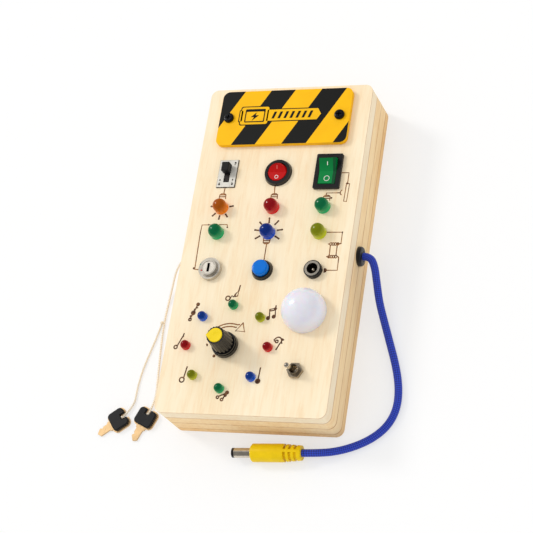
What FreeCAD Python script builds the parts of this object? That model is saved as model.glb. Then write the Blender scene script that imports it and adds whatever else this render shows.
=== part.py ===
import FreeCAD, Part
import math
import os
import re
import Sketcher
from FreeCAD import Placement, Rotation, Vector

# Wooden busy board: a wooden case with switches, lamps, a lock, a socket and a knob on its front.
# It lies on its back. X runs to the right, Y up the board towards the striped plate, Z out of the front.
# The origin is the centre of the flat rear face. All sizes are in millimetres.

SIZES = {
    # wooden case, glued up from sheets
    "board_width": 100.0,
    "board_length": 200.0,
    "corner_radius": 4.5,
    "back_thickness": 5.0,
    "layer_thickness": 9.0,
    "board_thickness": 9.0,
    "face_thickness": 3.0,
    "wall_thickness": 8.0,
    "cavity_radius": 3.0,
    # clearances: a fixed piece in its hole, a moving piece beside another, a shaft in its bore
    "fit_gap": 0.1,
    "move_gap": 0.3,
    "shaft_gap": 0.05,
    # columns of the controls, from the board's side edges or its centre line
    "left_margin": 19.4,
    "middle_column": 0.6,
    "right_margin": 19.0,
    # rows of the controls, as shares of the board's length from its middle
    "switch_share": 0.223,
    "upper_lamp_share": 0.115,
    "lower_lamp_share": 0.0365,
    "socket_share": -0.077,
    # screws from the rear
    "rear_screw_radius": 1.25,
    "rear_screw_length": 12.5,
    "rear_screw_head_radius": 2.4,
    "rear_screw_head_height": 1.8,
    "rear_screw_sink": 0.4,
    "rear_screw_margin": 12.0,
    "rear_cross_length": 2.6,
    "rear_cross_width": 0.6,
    "rear_cross_depth": 0.9,
    # striped plate and its screws
    "hazard_width": 80.0,
    "hazard_height": 35.0,
    "hazard_thickness": 3.0,
    "hazard_radius": 4.0,
    "hazard_x": -0.6,
    "hazard_margin": 3.1,
    "hazard_screw_spacing": 68.0,
    "hazard_screw_radius": 1.5,
    "hazard_screw_length": 7.5,
    "hazard_head_radius": 3.0,
    "hazard_head_height": 1.7,
    "hazard_head_round": 0.9,
    "hazard_cross_length": 3.2,
    "hazard_cross_width": 0.7,
    # battery box behind the striped plate
    "cell_radius": 5.25,
    "cell_length": 44.5,
    "cell_gap": 0.2,
    "cell_nub_radius": 1.9,
    "cell_nub_height": 1.2,
    "battery_margin": 27.6,
    "battery_wall": 1.4,
    "contact_depth": 4.2,
    "contact_sheet": 0.5,
    "contact_width": 7.0,
    "contact_nib": 3.0,
    "door_thickness": 2.8,
    "door_length": 64.0,
    "door_rim": 3.6,
    "door_gap": 0.3,
    "door_screw_sink": 0.2,
    "door_screw_edge": 0.8,
    "tongue_length": 1.8,
    "tongue_width": 10.0,
    # slide switch
    "slide_plate_width": 11.0,
    "slide_plate_length": 17.0,
    "slide_plate_thickness": 0.8,
    "slide_travel": 5.0,
    "slide_handle_width": 4.4,
    "slide_handle_length": 5.5,
    "slide_handle_height": 5.7,
    "slide_neck_width": 3.0,
    "slide_body_width": 8.0,
    "slide_body_depth": 8.5,
    "slide_body_wall": 1.2,
    "slide_shoe_height": 2.4,
    "slide_dimple_radius": 0.5,
    # both rocker switches
    "rocker_bezel_height": 2.0,
    "rocker_pivot_height": 0.6,
    "rocker_pin_radius": 0.9,
    "rocker_pin_length": 0.9,
    "rocker_top": 1.5,
    "rocker_skirt": 3.0,
    "rocker_tilt": 13.0,
    "rocker_floor": 5.0,
    "bezel_round": 0.7,
    "round_bezel_radius": 8.3,
    "round_rocker_radius": 5.6,
    "round_rocker_wall": 1.5,
    "square_bezel_width": 15.4,
    "square_bezel_length": 21.4,
    "square_rocker_width": 9.8,
    "square_rocker_reach": 8.0,
    "square_rocker_wall": 1.3,
    "square_rocker_end_wall": 1.4,
    # lamps
    "lamp_radius": 4.0,
    "lamp_proud": 7.8,
    "ring_lamp_radius": 2.55,
    "ring_lamp_proud": 4.6,
    "lamp_flange": 0.45,
    "lamp_flange_height": 1.0,
    "lead_width": 0.5,
    "lead_spacing": 2.54,
    "lead_below": 1.5,
    "ring_side_margin": 37.1,
    "ring_end_margin": 39.0,
    "ring_radius": 24.4,
    "board_sheet": 1.6,
    "board_margin": 0.6,
    "ring_board_bore": 14.0,
    # key lock
    "lock_flange_radius": 6.5,
    "lock_flange_height": 2.6,
    "lock_step_radius": 5.7,
    "lock_step_height": 3.6,
    "lock_step_slope": 0.6,
    "lock_lip_radius": 4.7,
    "lock_face_height": 4.3,
    "lock_barrel_radius": 5.0,
    "lock_barrel_depth": 16.0,
    "lock_plug_radius": 3.7,
    "keyway_width": 1.6,
    "keyway_length": 5.3,
    "keyway_depth": 9.0,
    "lock_nut_flats": 13.0,
    "lock_nut_height": 2.5,
    "lock_floor": 1.5,
    "cam_square": 2.4,
    "cam_width": 7.0,
    "cam_length": 17.0,
    "cam_sheet": 1.6,
    # push button
    "button_collar_radius": 6.25,
    "button_collar_height": 2.2,
    "button_collar_slope": 0.8,
    "button_barrel_radius": 5.0,
    "button_barrel_depth": 13.0,
    "button_cap_radius": 4.6,
    "button_cap_round": 0.6,
    "button_cap_depth": 4.5,
    "button_travel": 3.0,
    "button_floor": 2.0,
    "button_nut_flats": 13.0,
    "button_nut_height": 2.0,
    "spring_radius": 3.4,
    "spring_wire": 0.7,
    # power socket
    "jack_collar_radius": 5.0,
    "jack_collar_height": 3.0,
    "jack_barrel_radius": 4.0,
    "jack_barrel_depth": 12.0,
    "jack_bore_radius": 3.15,
    "jack_ring_radius": 4.4,
    "jack_ring_proud": 0.3,
    "jack_ring_depth": 1.8,
    "jack_sleeve_wall": 0.2,
    "jack_sleeve_depth": 8.0,
    "jack_pin_radius": 1.0,
    "jack_pin_below": 1.0,
    "jack_nut_flats": 10.0,
    "jack_nut_height": 2.0,
    # dome lamp
    "dome_margin": 20.5,
    "dome_share": -0.199,
    "dome_radius": 12.5,
    "dome_band": 2.0,
    "dome_wall": 1.2,
    "dome_base_radius": 10.0,
    "dome_base_proud": 2.0,
    "dome_flange_radius": 11.6,
    "dome_flange_height": 2.0,
    "dome_bulb_radius": 3.5,
    "dome_bulb_height": 7.0,
    # toggle switch
    "toggle_side_margin": 20.7,
    "toggle_end_margin": 26.0,
    "toggle_body_length": 13.2,
    "toggle_body_width": 8.0,
    "toggle_body_depth": 9.5,
    "toggle_neck_radius": 3.0,
    "toggle_neck_height": 4.4,
    "toggle_nut_flats": 8.0,
    "toggle_nut_height": 2.0,
    "toggle_ball_radius": 1.9,
    "toggle_pivot_height": 0.6,
    "toggle_lever_length": 8.8,
    "toggle_lever_radius": 0.9,
    "toggle_tip_radius": 1.5,
    "toggle_mouth_radius": 2.45,
    "toggle_tail_radius": 0.8,
    "toggle_tail_length": 4.0,
    "toggle_room_depth": 4.0,
    "toggle_lid": 1.0,
    "toggle_tilt": 12.0,
    # turning knob and its switch
    "rotary_body_radius": 12.0,
    "rotary_body_depth": 12.0,
    "rotary_body_wall": 2.5,
    "rotary_neck_radius": 3.5,
    "rotary_neck_height": 4.4,
    "rotary_shaft_radius": 3.0,
    "rotary_disc_radius": 8.0,
    "rotary_disc_height": 2.0,
    "rotary_nut_flats": 10.0,
    "rotary_nut_height": 1.9,
    "knob_skirt_radius": 7.5,
    "knob_base_gap": 2.2,
    "knob_skirt_height": 2.2,
    "knob_skirt_slope": 0.3,
    "knob_ring_radius": 6.9,
    "knob_ring_height": 1.5,
    "knob_foot_radius": 6.3,
    "knob_top_radius": 5.1,
    "knob_body_height": 11.6,
    "knob_flute_radius": 0.55,
    "knob_flute_count": 18.0,
    "knob_shaft_depth": 9.0,
    "knob_cap_radius": 4.1,
    "knob_pointer_reach": 5.5,
    "knob_cap_height": 1.4,
    "knob_cap_proud": 0.6,
    # rubber grommet, lead and plug
    "grommet_radius": 5.6,
    "grommet_height": 2.5,
    "grommet_round": 1.0,
    "grommet_neck_radius": 4.0,
    "grommet_inner_height": 1.5,
    "grommet_inner_lip": 0.8,
    "cable_diameter": 4.3,
    "plug_radius": 5.1,
    "plug_tail_radius": 4.1,
    "plug_length": 29.0,
    "plug_taper_length": 11.0,
    "plug_groove_depth": 0.9,
    "plug_groove_width": 1.5,
    "plug_groove_start": 2.2,
    "plug_bridge_width": 1.6,
    "plug_round": 0.8,
    "barrel_radius": 2.75,
    "barrel_length": 10.0,
    "barrel_bore_radius": 1.05,
    "barrel_bore_depth": 9.0,
    "tip_ring_length": 1.4,
    # string and keys
    "string_diameter": 1.2,
    "string_hole_radius": 0.7,
    "key_sheet": 1.2,
    "key_head_height": 1.9,
    "key_bow_width": 13.0,
    "key_bow_back": 2.5,
    "key_bow_front": 9.0,
    "key_bow_radius": 3.0,
    "key_rim": 0.7,
    "key_notch_width": 3.0,
    "key_notch_end": 1.3,
    "key_blade_width": 4.2,
    "key_blade_end": 18.1,
    "key_shoulder": 0.9,
    "key_cut": 0.8,
    "key_tip": 2.4,
}

# Route of the lead, from the grommet's face to the plug's tail, as corner points.
CABLE_POINTS = [
    (52.5, 0.0, 16.0),
    (56.6, 0.0, 16.0),
    (59.6, -5.4, 15.0),
    (61.0, -14.0, 11.8),
    (62.6, -24.0, 7.8),
    (65.9, -34.5, 4.0),
    (70.0, -46.0, 2.15),
    (75.2, -59.5, 2.15),
    (78.4, -72.0, 2.15),
    (78.6, -83.5, 2.15),
    (74.8, -93.0, 2.15),
    (67.4, -100.2, 2.15),
    (57.5, -105.5, 2.15),
    (47.0, -109.2, 3.3),
    (37.5, -110.85, 5.1),
    (29.5, -111.2, 5.1),
]
PLUG_TURN = 182.5

# Routes of the two strings: the long one leaves the hole in the left wall,
# the short one is tied to the long one on the way.
LONG_STRING_POINTS = [
    (-45.0, 0.0, 16.0),
    (-53.0, 0.0, 16.0),
    (-59.5, -2.0, 13.2),
    (-64.4, -6.8, 7.6),
    (-67.4, -13.5, 2.2),
    (-68.8, -22.5, 0.6),
    (-69.4, -35.0, 0.6),
    (-68.7, -48.0, 0.6),
    (-67.6, -61.0, 0.6),
    (-66.3, -74.0, 0.6),
    (-65.6, -84.0, 0.9),
    (-68.34, -92.0, 1.3),
]
SHORT_STRING_POINTS = [
    (-70.7, -36.0, 0.6),
    (-72.0, -43.5, 0.6),
    (-75.0, -55.0, 0.6),
    (-77.6, -66.5, 0.6),
    (-78.6, -77.5, 0.6),
    (-78.2, -87.2, 0.9),
    (-84.31, -94.51, 1.3),
]

# Keys: where the notch centre lies, and which way the blade points, in degrees from +X.
KEY_PLACES = [
    (-83.4, -93.8, 217.7),
    (-67.9, -91.0, 246.5),
]

# Columns and rows of the controls, as formulas of the sizes above.
LEFT_COLUMN = "(left_margin - board_width/2)"
MIDDLE_COLUMN = "middle_column"
RIGHT_COLUMN = "(board_width/2 - right_margin)"
SWITCH_ROW = "(switch_share*board_length)"
UPPER_LAMP_ROW = "(upper_lamp_share*board_length)"
LOWER_LAMP_ROW = "(lower_lamp_share*board_length)"
SOCKET_ROW = "(socket_share*board_length)"
HAZARD_Y = "(board_length/2 - hazard_margin - hazard_height/2)"
BATTERY_Y = "(board_length/2 - battery_margin)"
DOME_X = "(board_width/2 - dome_margin)"
DOME_Y = "(dome_share*board_length)"
TOGGLE_X = "(board_width/2 - toggle_side_margin)"
TOGGLE_Y = "(toggle_end_margin - board_length/2)"
RING_X = "(ring_side_margin - board_width/2)"
RING_Y = "(ring_end_margin - board_length/2)"

# Levels up the board's depth.
LAYER_SEAM = "(back_thickness + layer_thickness)"
BOARD_SEAM = "(back_thickness + 2*layer_thickness)"
FRONT = f"({BOARD_SEAM} + board_thickness)"
UNDER = f"({FRONT} - face_thickness)"
MIDDLE = f"({FRONT}/2)"
CAVITY_WIDTH = "(board_width - 2*wall_thickness)"
CAVITY_LENGTH = "(board_length - 2*wall_thickness)"

ALONG_X = (Vector(0, 1, 0), 90)
AGAINST_X = (Vector(0, 1, 0), -90)

doc = FreeCAD.newDocument("busy_board")
sheet = doc.addObject("Spreadsheet::Sheet", "Sizes")
for row, (alias, number) in enumerate(SIZES.items(), start=1):
    sheet.set(f"A{row}", alias)
    sheet.set(f"B{row}", str(number))
    sheet.setAlias(f"B{row}", alias)
doc.recompute()

nodes = []


def formula(text):
    """Turn plain size names into references to the spreadsheet."""
    def refer(word):
        return f"Sizes.{word.group()}" if word.group() in SIZES else word.group()
    return re.sub(r"[a-z][a-z_0-9]*", refer, str(text))


def place(obj, at, turn=None):
    """Put an object at a place given by three formulas, turned about an axis."""
    if turn:
        obj.Placement = Placement(Vector(0, 0, 0), Rotation(*turn))
    for letter, text in zip("xyz", at):
        obj.setExpression(f"Placement.Base.{letter}", formula(text))
    return obj


def primitive(kind, name, at, turn, **sizes):
    obj = doc.addObject(f"Part::{kind}", name)
    for size, text in sizes.items():
        obj.setExpression(size, formula(text))
    return place(obj, at, turn)


def cylinder(name, radius, height, at, turn=None):
    return primitive("Cylinder", name, at, turn, Radius=radius, Height=height)


def cone(name, radius_low, radius_high, height, at, turn=None):
    return primitive("Cone", name, at, turn, Radius1=radius_low, Radius2=radius_high, Height=height)


def ball(name, radius, at):
    return primitive("Sphere", name, at, None, Radius=radius)


def upper_ball(name, radius, at):
    """The upper half of a ball."""
    return primitive("Sphere", name, at, None, Radius=radius, Angle1="0")


def block(name, length, width, height, at):
    """A box with the centre of its lowest face at the given place."""
    corner = (f"{at[0]} - ({length})/2", f"{at[1]} - ({width})/2", at[2])
    return primitive("Box", name, corner, None, Length=length, Width=width, Height=height)


def hexagon(name, flats, height, at):
    """A hexagonal prism of the given width across its flats."""
    prism = primitive("Prism", name, at, None, Circumradius=f"({flats})/sqrt(3)", Height=height)
    prism.Polygon = 6
    return prism


def fuse(name, pieces):
    obj = doc.addObject("Part::MultiFuse", name)
    obj.Shapes = pieces
    obj.Refine = True
    return obj


def cut(name, base, tools):
    obj = doc.addObject("Part::Cut", name)
    obj.Base = base
    obj.Tool = tools[0] if len(tools) == 1 else fuse(f"{name}_tools", tools)
    return obj


def common(name, first, second):
    obj = doc.addObject("Part::Common", name)
    obj.Base = first
    obj.Tool = second
    return obj


def group(name, pieces):
    """Separate solids that share one node."""
    obj = doc.addObject("Part::Compound", name)
    obj.Links = pieces
    return obj


def keep(obj, label):
    """Name a finished sub-part, which gets its own file."""
    obj.Label = label
    nodes.append(obj)
    return obj


def soften(name, base, radius, wanted):
    """Round those edges of an object that the test picks."""
    doc.recompute()
    obj = doc.addObject("Part::Fillet", name)
    obj.Base = base
    chosen = [i for i, edge in enumerate(base.Shape.Edges, start=1) if wanted(edge)]
    obj.Edges = [(i, radius, radius) for i in chosen]
    return obj


def level_of(edge):
    """Height of a flat edge, or None where the edge climbs."""
    box = edge.BoundBox
    return (box.ZMin + box.ZMax)/2 if box.ZLength < 1e-6 else None


def top_edges(radius, height):
    """A test for round edges of about one radius at one height."""
    def wanted(edge):
        level = level_of(edge)
        if level is None or abs(level - height) > 1e-4:
            return False
        return hasattr(edge.Curve, "Radius") and abs(edge.Curve.Radius - radius) < 1e-4
    return wanted


# Sketches and bodies


def plane_of(body):
    return [item for item in body.Origin.OriginFeatures if item.Role == "XY_Plane"][0]


def flat_sketch(body, name, level="0", centre=("0", "0")):
    """A sketch parallel to the body's base plane."""
    sketch = body.newObject("Sketcher::SketchObject", name)
    sketch.AttachmentSupport = [(plane_of(body), "")]
    sketch.MapMode = "FlatFace"
    for letter, text in zip("xyz", (*centre, level)):
        sketch.setExpression(f"AttachmentOffset.Base.{letter}", formula(text))
    return sketch


def bind(sketch, constraint, text):
    sketch.setExpression(f"Constraints[{constraint}]", formula(text))


def draw_circle(sketch, x, y, radius):
    circle = sketch.addGeometry(Part.Circle(Vector(1, 1, 0), Vector(0, 0, 1), 1), False)
    bind(sketch, sketch.addConstraint(Sketcher.Constraint("DistanceX", -1, 1, circle, 3, 1)), x)
    bind(sketch, sketch.addConstraint(Sketcher.Constraint("DistanceY", -1, 1, circle, 3, 1)), y)
    bind(sketch, sketch.addConstraint(Sketcher.Constraint("Radius", circle, 1)), radius)


def draw_rectangle(sketch, x, y, width, length):
    """A rectangle about the centre (x, y)."""
    corners = [Vector(0, 0, 0), Vector(1, 0, 0), Vector(1, 1, 0), Vector(0, 1, 0)]
    lines = []
    for i in range(4):
        lines.append(sketch.addGeometry(Part.LineSegment(corners[i], corners[(i + 1) % 4]), False))
    for i in range(4):
        sketch.addConstraint(Sketcher.Constraint("Coincident", lines[i], 2, lines[(i + 1) % 4], 1))
    for i in (0, 2):
        sketch.addConstraint(Sketcher.Constraint("Horizontal", lines[i]))
        sketch.addConstraint(Sketcher.Constraint("Vertical", lines[i + 1]))
    steps = (
        (("DistanceX", lines[0], 1, lines[0], 2, 1), width),
        (("DistanceY", lines[1], 1, lines[1], 2, 1), length),
        (("DistanceX", -1, 1, lines[0], 1, 1), f"{x} - ({width})/2"),
        (("DistanceY", -1, 1, lines[0], 1, 1), f"{y} - ({length})/2"),
    )
    for values, text in steps:
        bind(sketch, sketch.addConstraint(Sketcher.Constraint(*values)), text)


def upright_edges(shape, known=()):
    """Names of the straight edges along Z that weren't there before."""
    names = []
    for i, edge in enumerate(shape.Edges, start=1):
        box = edge.BoundBox
        upright = box.XLength < 1e-6 and box.YLength < 1e-6
        if upright and not any((edge.CenterOfMass - old).Length < 1e-4 for old in known):
            names.append(f"Edge{i}")
    return names


def round_uprights(body, name, radius, known=()):
    doc.recompute()
    last = body.Tip
    fillet = body.newObject("PartDesign::Fillet", name)
    fillet.Base = (last, upright_edges(last.Shape, known))
    fillet.setExpression("Radius", formula(radius))
    return fillet


def plate_body(name, width, length, thickness, radius, at):
    """A flat plate with rounded corners, as a body of its own."""
    body = doc.addObject("PartDesign::Body", name)
    place(body, at)
    outline = flat_sketch(body, f"{name}_outline")
    draw_rectangle(outline, "0", "0", width, length)
    pad = body.newObject("PartDesign::Pad", f"{name}_pad")
    pad.Profile = outline
    pad.setExpression("Length", formula(thickness))
    if radius:
        round_uprights(body, f"{name}_corners", radius)
    doc.recompute()
    return body


def pocket(body, name, sketch, depth=None):
    """Cut upwards from the sketch: to a depth, or right through."""
    before = body.Shape.Volume
    hole = body.newObject("PartDesign::Pocket", name)
    hole.Profile = sketch
    hole.Reversed = True
    if depth:
        hole.setExpression("Length", formula(depth))
    else:
        hole.Type = "ThroughAll"
    doc.recompute()
    if body.Shape.Volume > before - 1e-3:
        raise RuntimeError(f"{name} cuts nothing")
    return hole


# Places that several pieces share


def screw_places():
    """Rear screws: four in the side walls and two in the end walls."""
    side = "(board_width - wall_thickness)/2"
    end = "(board_length - wall_thickness)/2"
    row = "(board_length/2 - rear_screw_margin)"
    places = [(f"{sx}*{side}", f"{sy}*{row}") for sx in (-1, 1) for sy in (-1, 1)]
    return places + [("0", f"-1*{end}"), ("0", end)]


DOOR_SCREW_X = "(door_length/2 - rear_screw_head_radius - door_screw_edge)"
CELL_PITCH = "(2*cell_radius + cell_gap)"
BOX_LENGTH = "(cell_length + 2*contact_depth)"
BOX_WIDTH = f"(3*{CELL_PITCH} + cell_gap)"
BOX_HEIGHT = "(door_thickness + move_gap + 2*cell_radius + move_gap + battery_wall)"
DOOR_WIDTH = f"({BOX_WIDTH} + 2*door_rim)"
LAMPS = {
    "amber_lamp": (LEFT_COLUMN, UPPER_LAMP_ROW),
    "red_lamp": (MIDDLE_COLUMN, UPPER_LAMP_ROW),
    "upper_green_lamp": (RIGHT_COLUMN, UPPER_LAMP_ROW),
    "lower_green_lamp": (LEFT_COLUMN, LOWER_LAMP_ROW),
    "blue_lamp": (MIDDLE_COLUMN, LOWER_LAMP_ROW),
    "lime_lamp": (RIGHT_COLUMN, LOWER_LAMP_ROW),
}
# Each colour of the ring holds two lamps. The angles run from +X.
RING_LAMPS = {
    "ring_lamps_green": (90, 270),
    "ring_lamps_lime": (45, 225),
    "ring_lamps_red": (0, 180),
    "ring_lamps_blue": (315, 135),
}
ROUND_HOUSING_RADIUS = "(round_rocker_radius + move_gap + round_rocker_wall)"
SQUARE_HOUSING_WIDTH = "(square_rocker_width + 2*move_gap + 2*square_rocker_wall)"
SQUARE_HOUSING_LENGTH = "(2*square_rocker_reach + 2*move_gap + 2*square_rocker_end_wall)"
SLIDE_SLOT_LENGTH = "(slide_handle_length + slide_travel + 2*move_gap)"
SLIDE_BODY_LENGTH = f"({SLIDE_SLOT_LENGTH} + 2*slide_body_wall)"


def ring_place(angle):
    return (f"{RING_X} + ring_radius*cos({angle})", f"{RING_Y} + ring_radius*sin({angle})")


def build_front_board():
    """The face with all its cut-outs, hollowed from behind."""
    body = plate_body("front_board", "board_width", "board_length", "board_thickness",
                      "corner_radius", ("0", "0", BOARD_SEAM))
    outer = [edge.CenterOfMass for edge in body.Shape.Edges]
    hollow = flat_sketch(body, "hollow_outline")
    draw_rectangle(hollow, "0", "0", CAVITY_WIDTH, CAVITY_LENGTH)
    pocket(body, "hollow", hollow, "board_thickness - face_thickness")
    round_uprights(body, "hollow_corners", "cavity_radius", outer)
    holes = flat_sketch(body, "round_holes")
    lens = "lamp_radius + fit_gap"
    for x, y in LAMPS.values():
        draw_circle(holes, x, y, lens)
    draw_circle(holes, MIDDLE_COLUMN, SWITCH_ROW, f"{ROUND_HOUSING_RADIUS} + fit_gap")
    draw_circle(holes, LEFT_COLUMN, SOCKET_ROW, "lock_barrel_radius + fit_gap")
    draw_circle(holes, MIDDLE_COLUMN, SOCKET_ROW, "button_barrel_radius + fit_gap")
    draw_circle(holes, RIGHT_COLUMN, SOCKET_ROW, "jack_barrel_radius + fit_gap")
    draw_circle(holes, DOME_X, DOME_Y, "dome_base_radius + fit_gap")
    draw_circle(holes, TOGGLE_X, TOGGLE_Y, "toggle_neck_radius + fit_gap")
    draw_circle(holes, RING_X, RING_Y, "rotary_neck_radius + fit_gap")
    for side in (-1, 1):
        draw_circle(holes, f"hazard_x + {side}*hazard_screw_spacing/2", HAZARD_Y,
                    "hazard_screw_radius + shaft_gap")
    pocket(body, "round_cuts", holes)
    slots = flat_sketch(body, "switch_holes")
    draw_rectangle(slots, LEFT_COLUMN, SWITCH_ROW, "slide_body_width + 2*fit_gap",
                   f"{SLIDE_BODY_LENGTH} + 2*fit_gap")
    draw_rectangle(slots, RIGHT_COLUMN, SWITCH_ROW, f"{SQUARE_HOUSING_WIDTH} + 2*fit_gap",
                   f"{SQUARE_HOUSING_LENGTH} + 2*fit_gap")
    pocket(body, "switch_cuts", slots)
    first = flat_sketch(body, "ring_hole", "0", (RING_X, RING_Y))
    draw_circle(first, "ring_radius", "0", "ring_lamp_radius + fit_gap")
    ring_cut = pocket(body, "ring_cut", first)
    pattern = body.newObject("PartDesign::PolarPattern", "ring_pattern")
    pattern.Originals = [ring_cut]
    pattern.Axis = (first, ["N_Axis"])
    pattern.Angle = 360
    pattern.Occurrences = 8
    body.Tip = pattern
    keep(body, "front_board")


def build_frame_layer(name, level):
    """One ring of the case wall, with the lead's hole and the string's hole."""
    body = plate_body(f"{name}_ring", "board_width", "board_length", "layer_thickness",
                      "corner_radius", ("0", "0", level))
    outer = [edge.CenterOfMass for edge in body.Shape.Edges]
    inside = flat_sketch(body, f"{name}_inside")
    draw_rectangle(inside, "0", "0", CAVITY_WIDTH, CAVITY_LENGTH)
    pocket(body, f"{name}_opening", inside)
    round_uprights(body, f"{name}_inner_corners", "cavity_radius", outer)
    reach = "wall_thickness + 2"
    start = "board_width/2 - wall_thickness - 1"
    tools = [
        cylinder(f"{name}_lead_hole", "grommet_neck_radius + fit_gap", reach,
                 (start, "0", MIDDLE), ALONG_X),
        cylinder(f"{name}_string_hole", "string_hole_radius", reach,
                 (f"-1*({start})", "0", MIDDLE), AGAINST_X),
    ]
    if name == "rear_frame_layer":
        for i, (x, y) in enumerate(screw_places()):
            tools.append(cylinder(f"{name}_pilot_{i}", "rear_screw_radius + shaft_gap",
                                  "rear_screw_length + rear_screw_sink + 0.5", (x, y, "0")))
    keep(cut(f"{name}_cut", body, tools), name)


def build_back_panel():
    body = plate_body("back_plate", "board_width", "board_length", "back_thickness",
                      "corner_radius", ("0", "0", "0"))
    seat = flat_sketch(body, "door_seat")
    draw_rectangle(seat, "0", BATTERY_Y, "door_length + 2*door_gap", f"{DOOR_WIDTH} + 2*door_gap")
    pocket(body, "door_seat_cut", seat, "door_thickness")
    mouth = flat_sketch(body, "battery_mouth")
    draw_rectangle(mouth, "0", BATTERY_Y, BOX_LENGTH, BOX_WIDTH)
    pocket(body, "battery_mouth_cut", mouth)
    tools = []
    for i, (x, y) in enumerate(screw_places()):
        tools.append(cylinder(f"back_hole_{i}", "rear_screw_radius + fit_gap", "back_thickness",
                              (x, y, "0")))
        tools.append(cylinder(f"back_sink_{i}", "rear_screw_head_radius + fit_gap",
                              "rear_screw_sink + rear_screw_head_height", (x, y, "0")))
    tools.append(cylinder("door_pilot", "rear_screw_radius + shaft_gap", "back_thickness",
                          (DOOR_SCREW_X, BATTERY_Y, "0")))
    tools.append(block("tongue_slot", "tongue_length + door_gap + 1", "tongue_width + 2*door_gap",
                       "door_thickness/2 + door_gap",
                       ("-1*(door_length/2 + (tongue_length + door_gap + 1)/2 + door_gap - 1)",
                        BATTERY_Y, "door_thickness/2")))
    keep(cut("back_panel_cut", body, tools), "back_panel")


def rear_screw(name, x, y, level, length):
    """A round-headed wood screw that points up, with a cross in its head."""
    shank = cylinder(f"{name}_shank", "rear_screw_radius", length, (x, y, level))
    head = cylinder(f"{name}_head", "rear_screw_head_radius", "rear_screw_head_height", (x, y, level))
    slots = [
        block(f"{name}_slot_a", "rear_cross_length", "rear_cross_width", "rear_cross_depth",
              (x, y, level)),
        block(f"{name}_slot_b", "rear_cross_width", "rear_cross_length", "rear_cross_depth",
              (x, y, level)),
    ]
    return cut(name, fuse(f"{name}_blank", [shank, head]), slots)


def build_rear_screws():
    screws = [rear_screw(f"rear_screw_{i}", x, y, "rear_screw_sink", "rear_screw_length")
              for i, (x, y) in enumerate(screw_places())]
    screws.append(rear_screw("door_screw", DOOR_SCREW_X, BATTERY_Y, "door_screw_sink",
                             "back_thickness - 2*door_screw_sink"))
    keep(group("rear_screw_group", screws), "rear_screws")


def build_battery():
    """Box, cells, contacts and door. The cells lie across the board."""
    height = f"({BOX_HEIGHT} - back_thickness)"
    shell = block("battery_shell", f"{BOX_LENGTH} + 2*battery_wall", f"{BOX_WIDTH} + 2*battery_wall",
                  height, ("0", BATTERY_Y, "back_thickness"))
    room = block("battery_room", BOX_LENGTH, BOX_WIDTH, f"{height} - battery_wall",
                 ("0", BATTERY_Y, "back_thickness"))
    keep(cut("battery_box_cut", shell, [room]), "battery_box")
    cells = []
    contacts = []
    axis_level = "(door_thickness + move_gap + cell_radius)"
    for i in (-1, 0, 1):
        y = f"{BATTERY_Y} + {i}*{CELL_PITCH}"
        can = cylinder(f"cell_can_{i + 1}", "cell_radius", "cell_length - 1",
                       ("-1*cell_length/2", y, axis_level), ALONG_X)
        nub = cylinder(f"cell_nub_{i + 1}", "cell_nub_radius", "cell_nub_height",
                       ("cell_length/2 - cell_nub_height", y, axis_level), ALONG_X)
        cells.append(fuse(f"cell_{i + 1}", [can, nub]))
        for side in (-1, 1):
            # a sheet on the box's end wall with a raised nib that reaches the cell
            end = f"{side}*({BOX_LENGTH}/2 - contact_sheet/2)"
            backing = block(f"contact_sheet_{i + 1}_{side + 1}", "contact_sheet", "contact_width",
                                f"{BOX_HEIGHT} - battery_wall - back_thickness",
                                (end, y, "back_thickness"))
            nib_length = "(contact_depth - contact_sheet)"
            nib = block(f"contact_nib_{i + 1}_{side + 1}", nib_length, "contact_nib", "contact_nib",
                        (f"{side}*(cell_length/2 + {nib_length}/2)", y, "back_thickness + 1"))
            contacts.append(fuse(f"contact_{i + 1}_{side + 1}", [backing, nib]))
    keep(group("cell_group", cells), "battery_cells")
    keep(group("contact_group", contacts), "battery_contacts")
    lid = block("door_plate", "door_length", DOOR_WIDTH, "door_thickness", ("0", BATTERY_Y, "0"))
    tongue = block("door_tongue", "tongue_length + 1", "tongue_width", "door_thickness/2",
                   ("-1*(door_length/2 + (tongue_length - 1)/2)", BATTERY_Y, "door_thickness/2"))
    holes = [
        cylinder("door_hole", "rear_screw_radius + fit_gap", "door_thickness",
                 (DOOR_SCREW_X, BATTERY_Y, "0")),
        cylinder("door_sink", "rear_screw_head_radius + fit_gap",
                 "rear_screw_head_height + door_screw_sink",
                 (DOOR_SCREW_X, BATTERY_Y, "0")),
    ]
    keep(cut("door_cut", fuse("door_blank", [lid, tongue]), holes), "battery_door")


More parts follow.
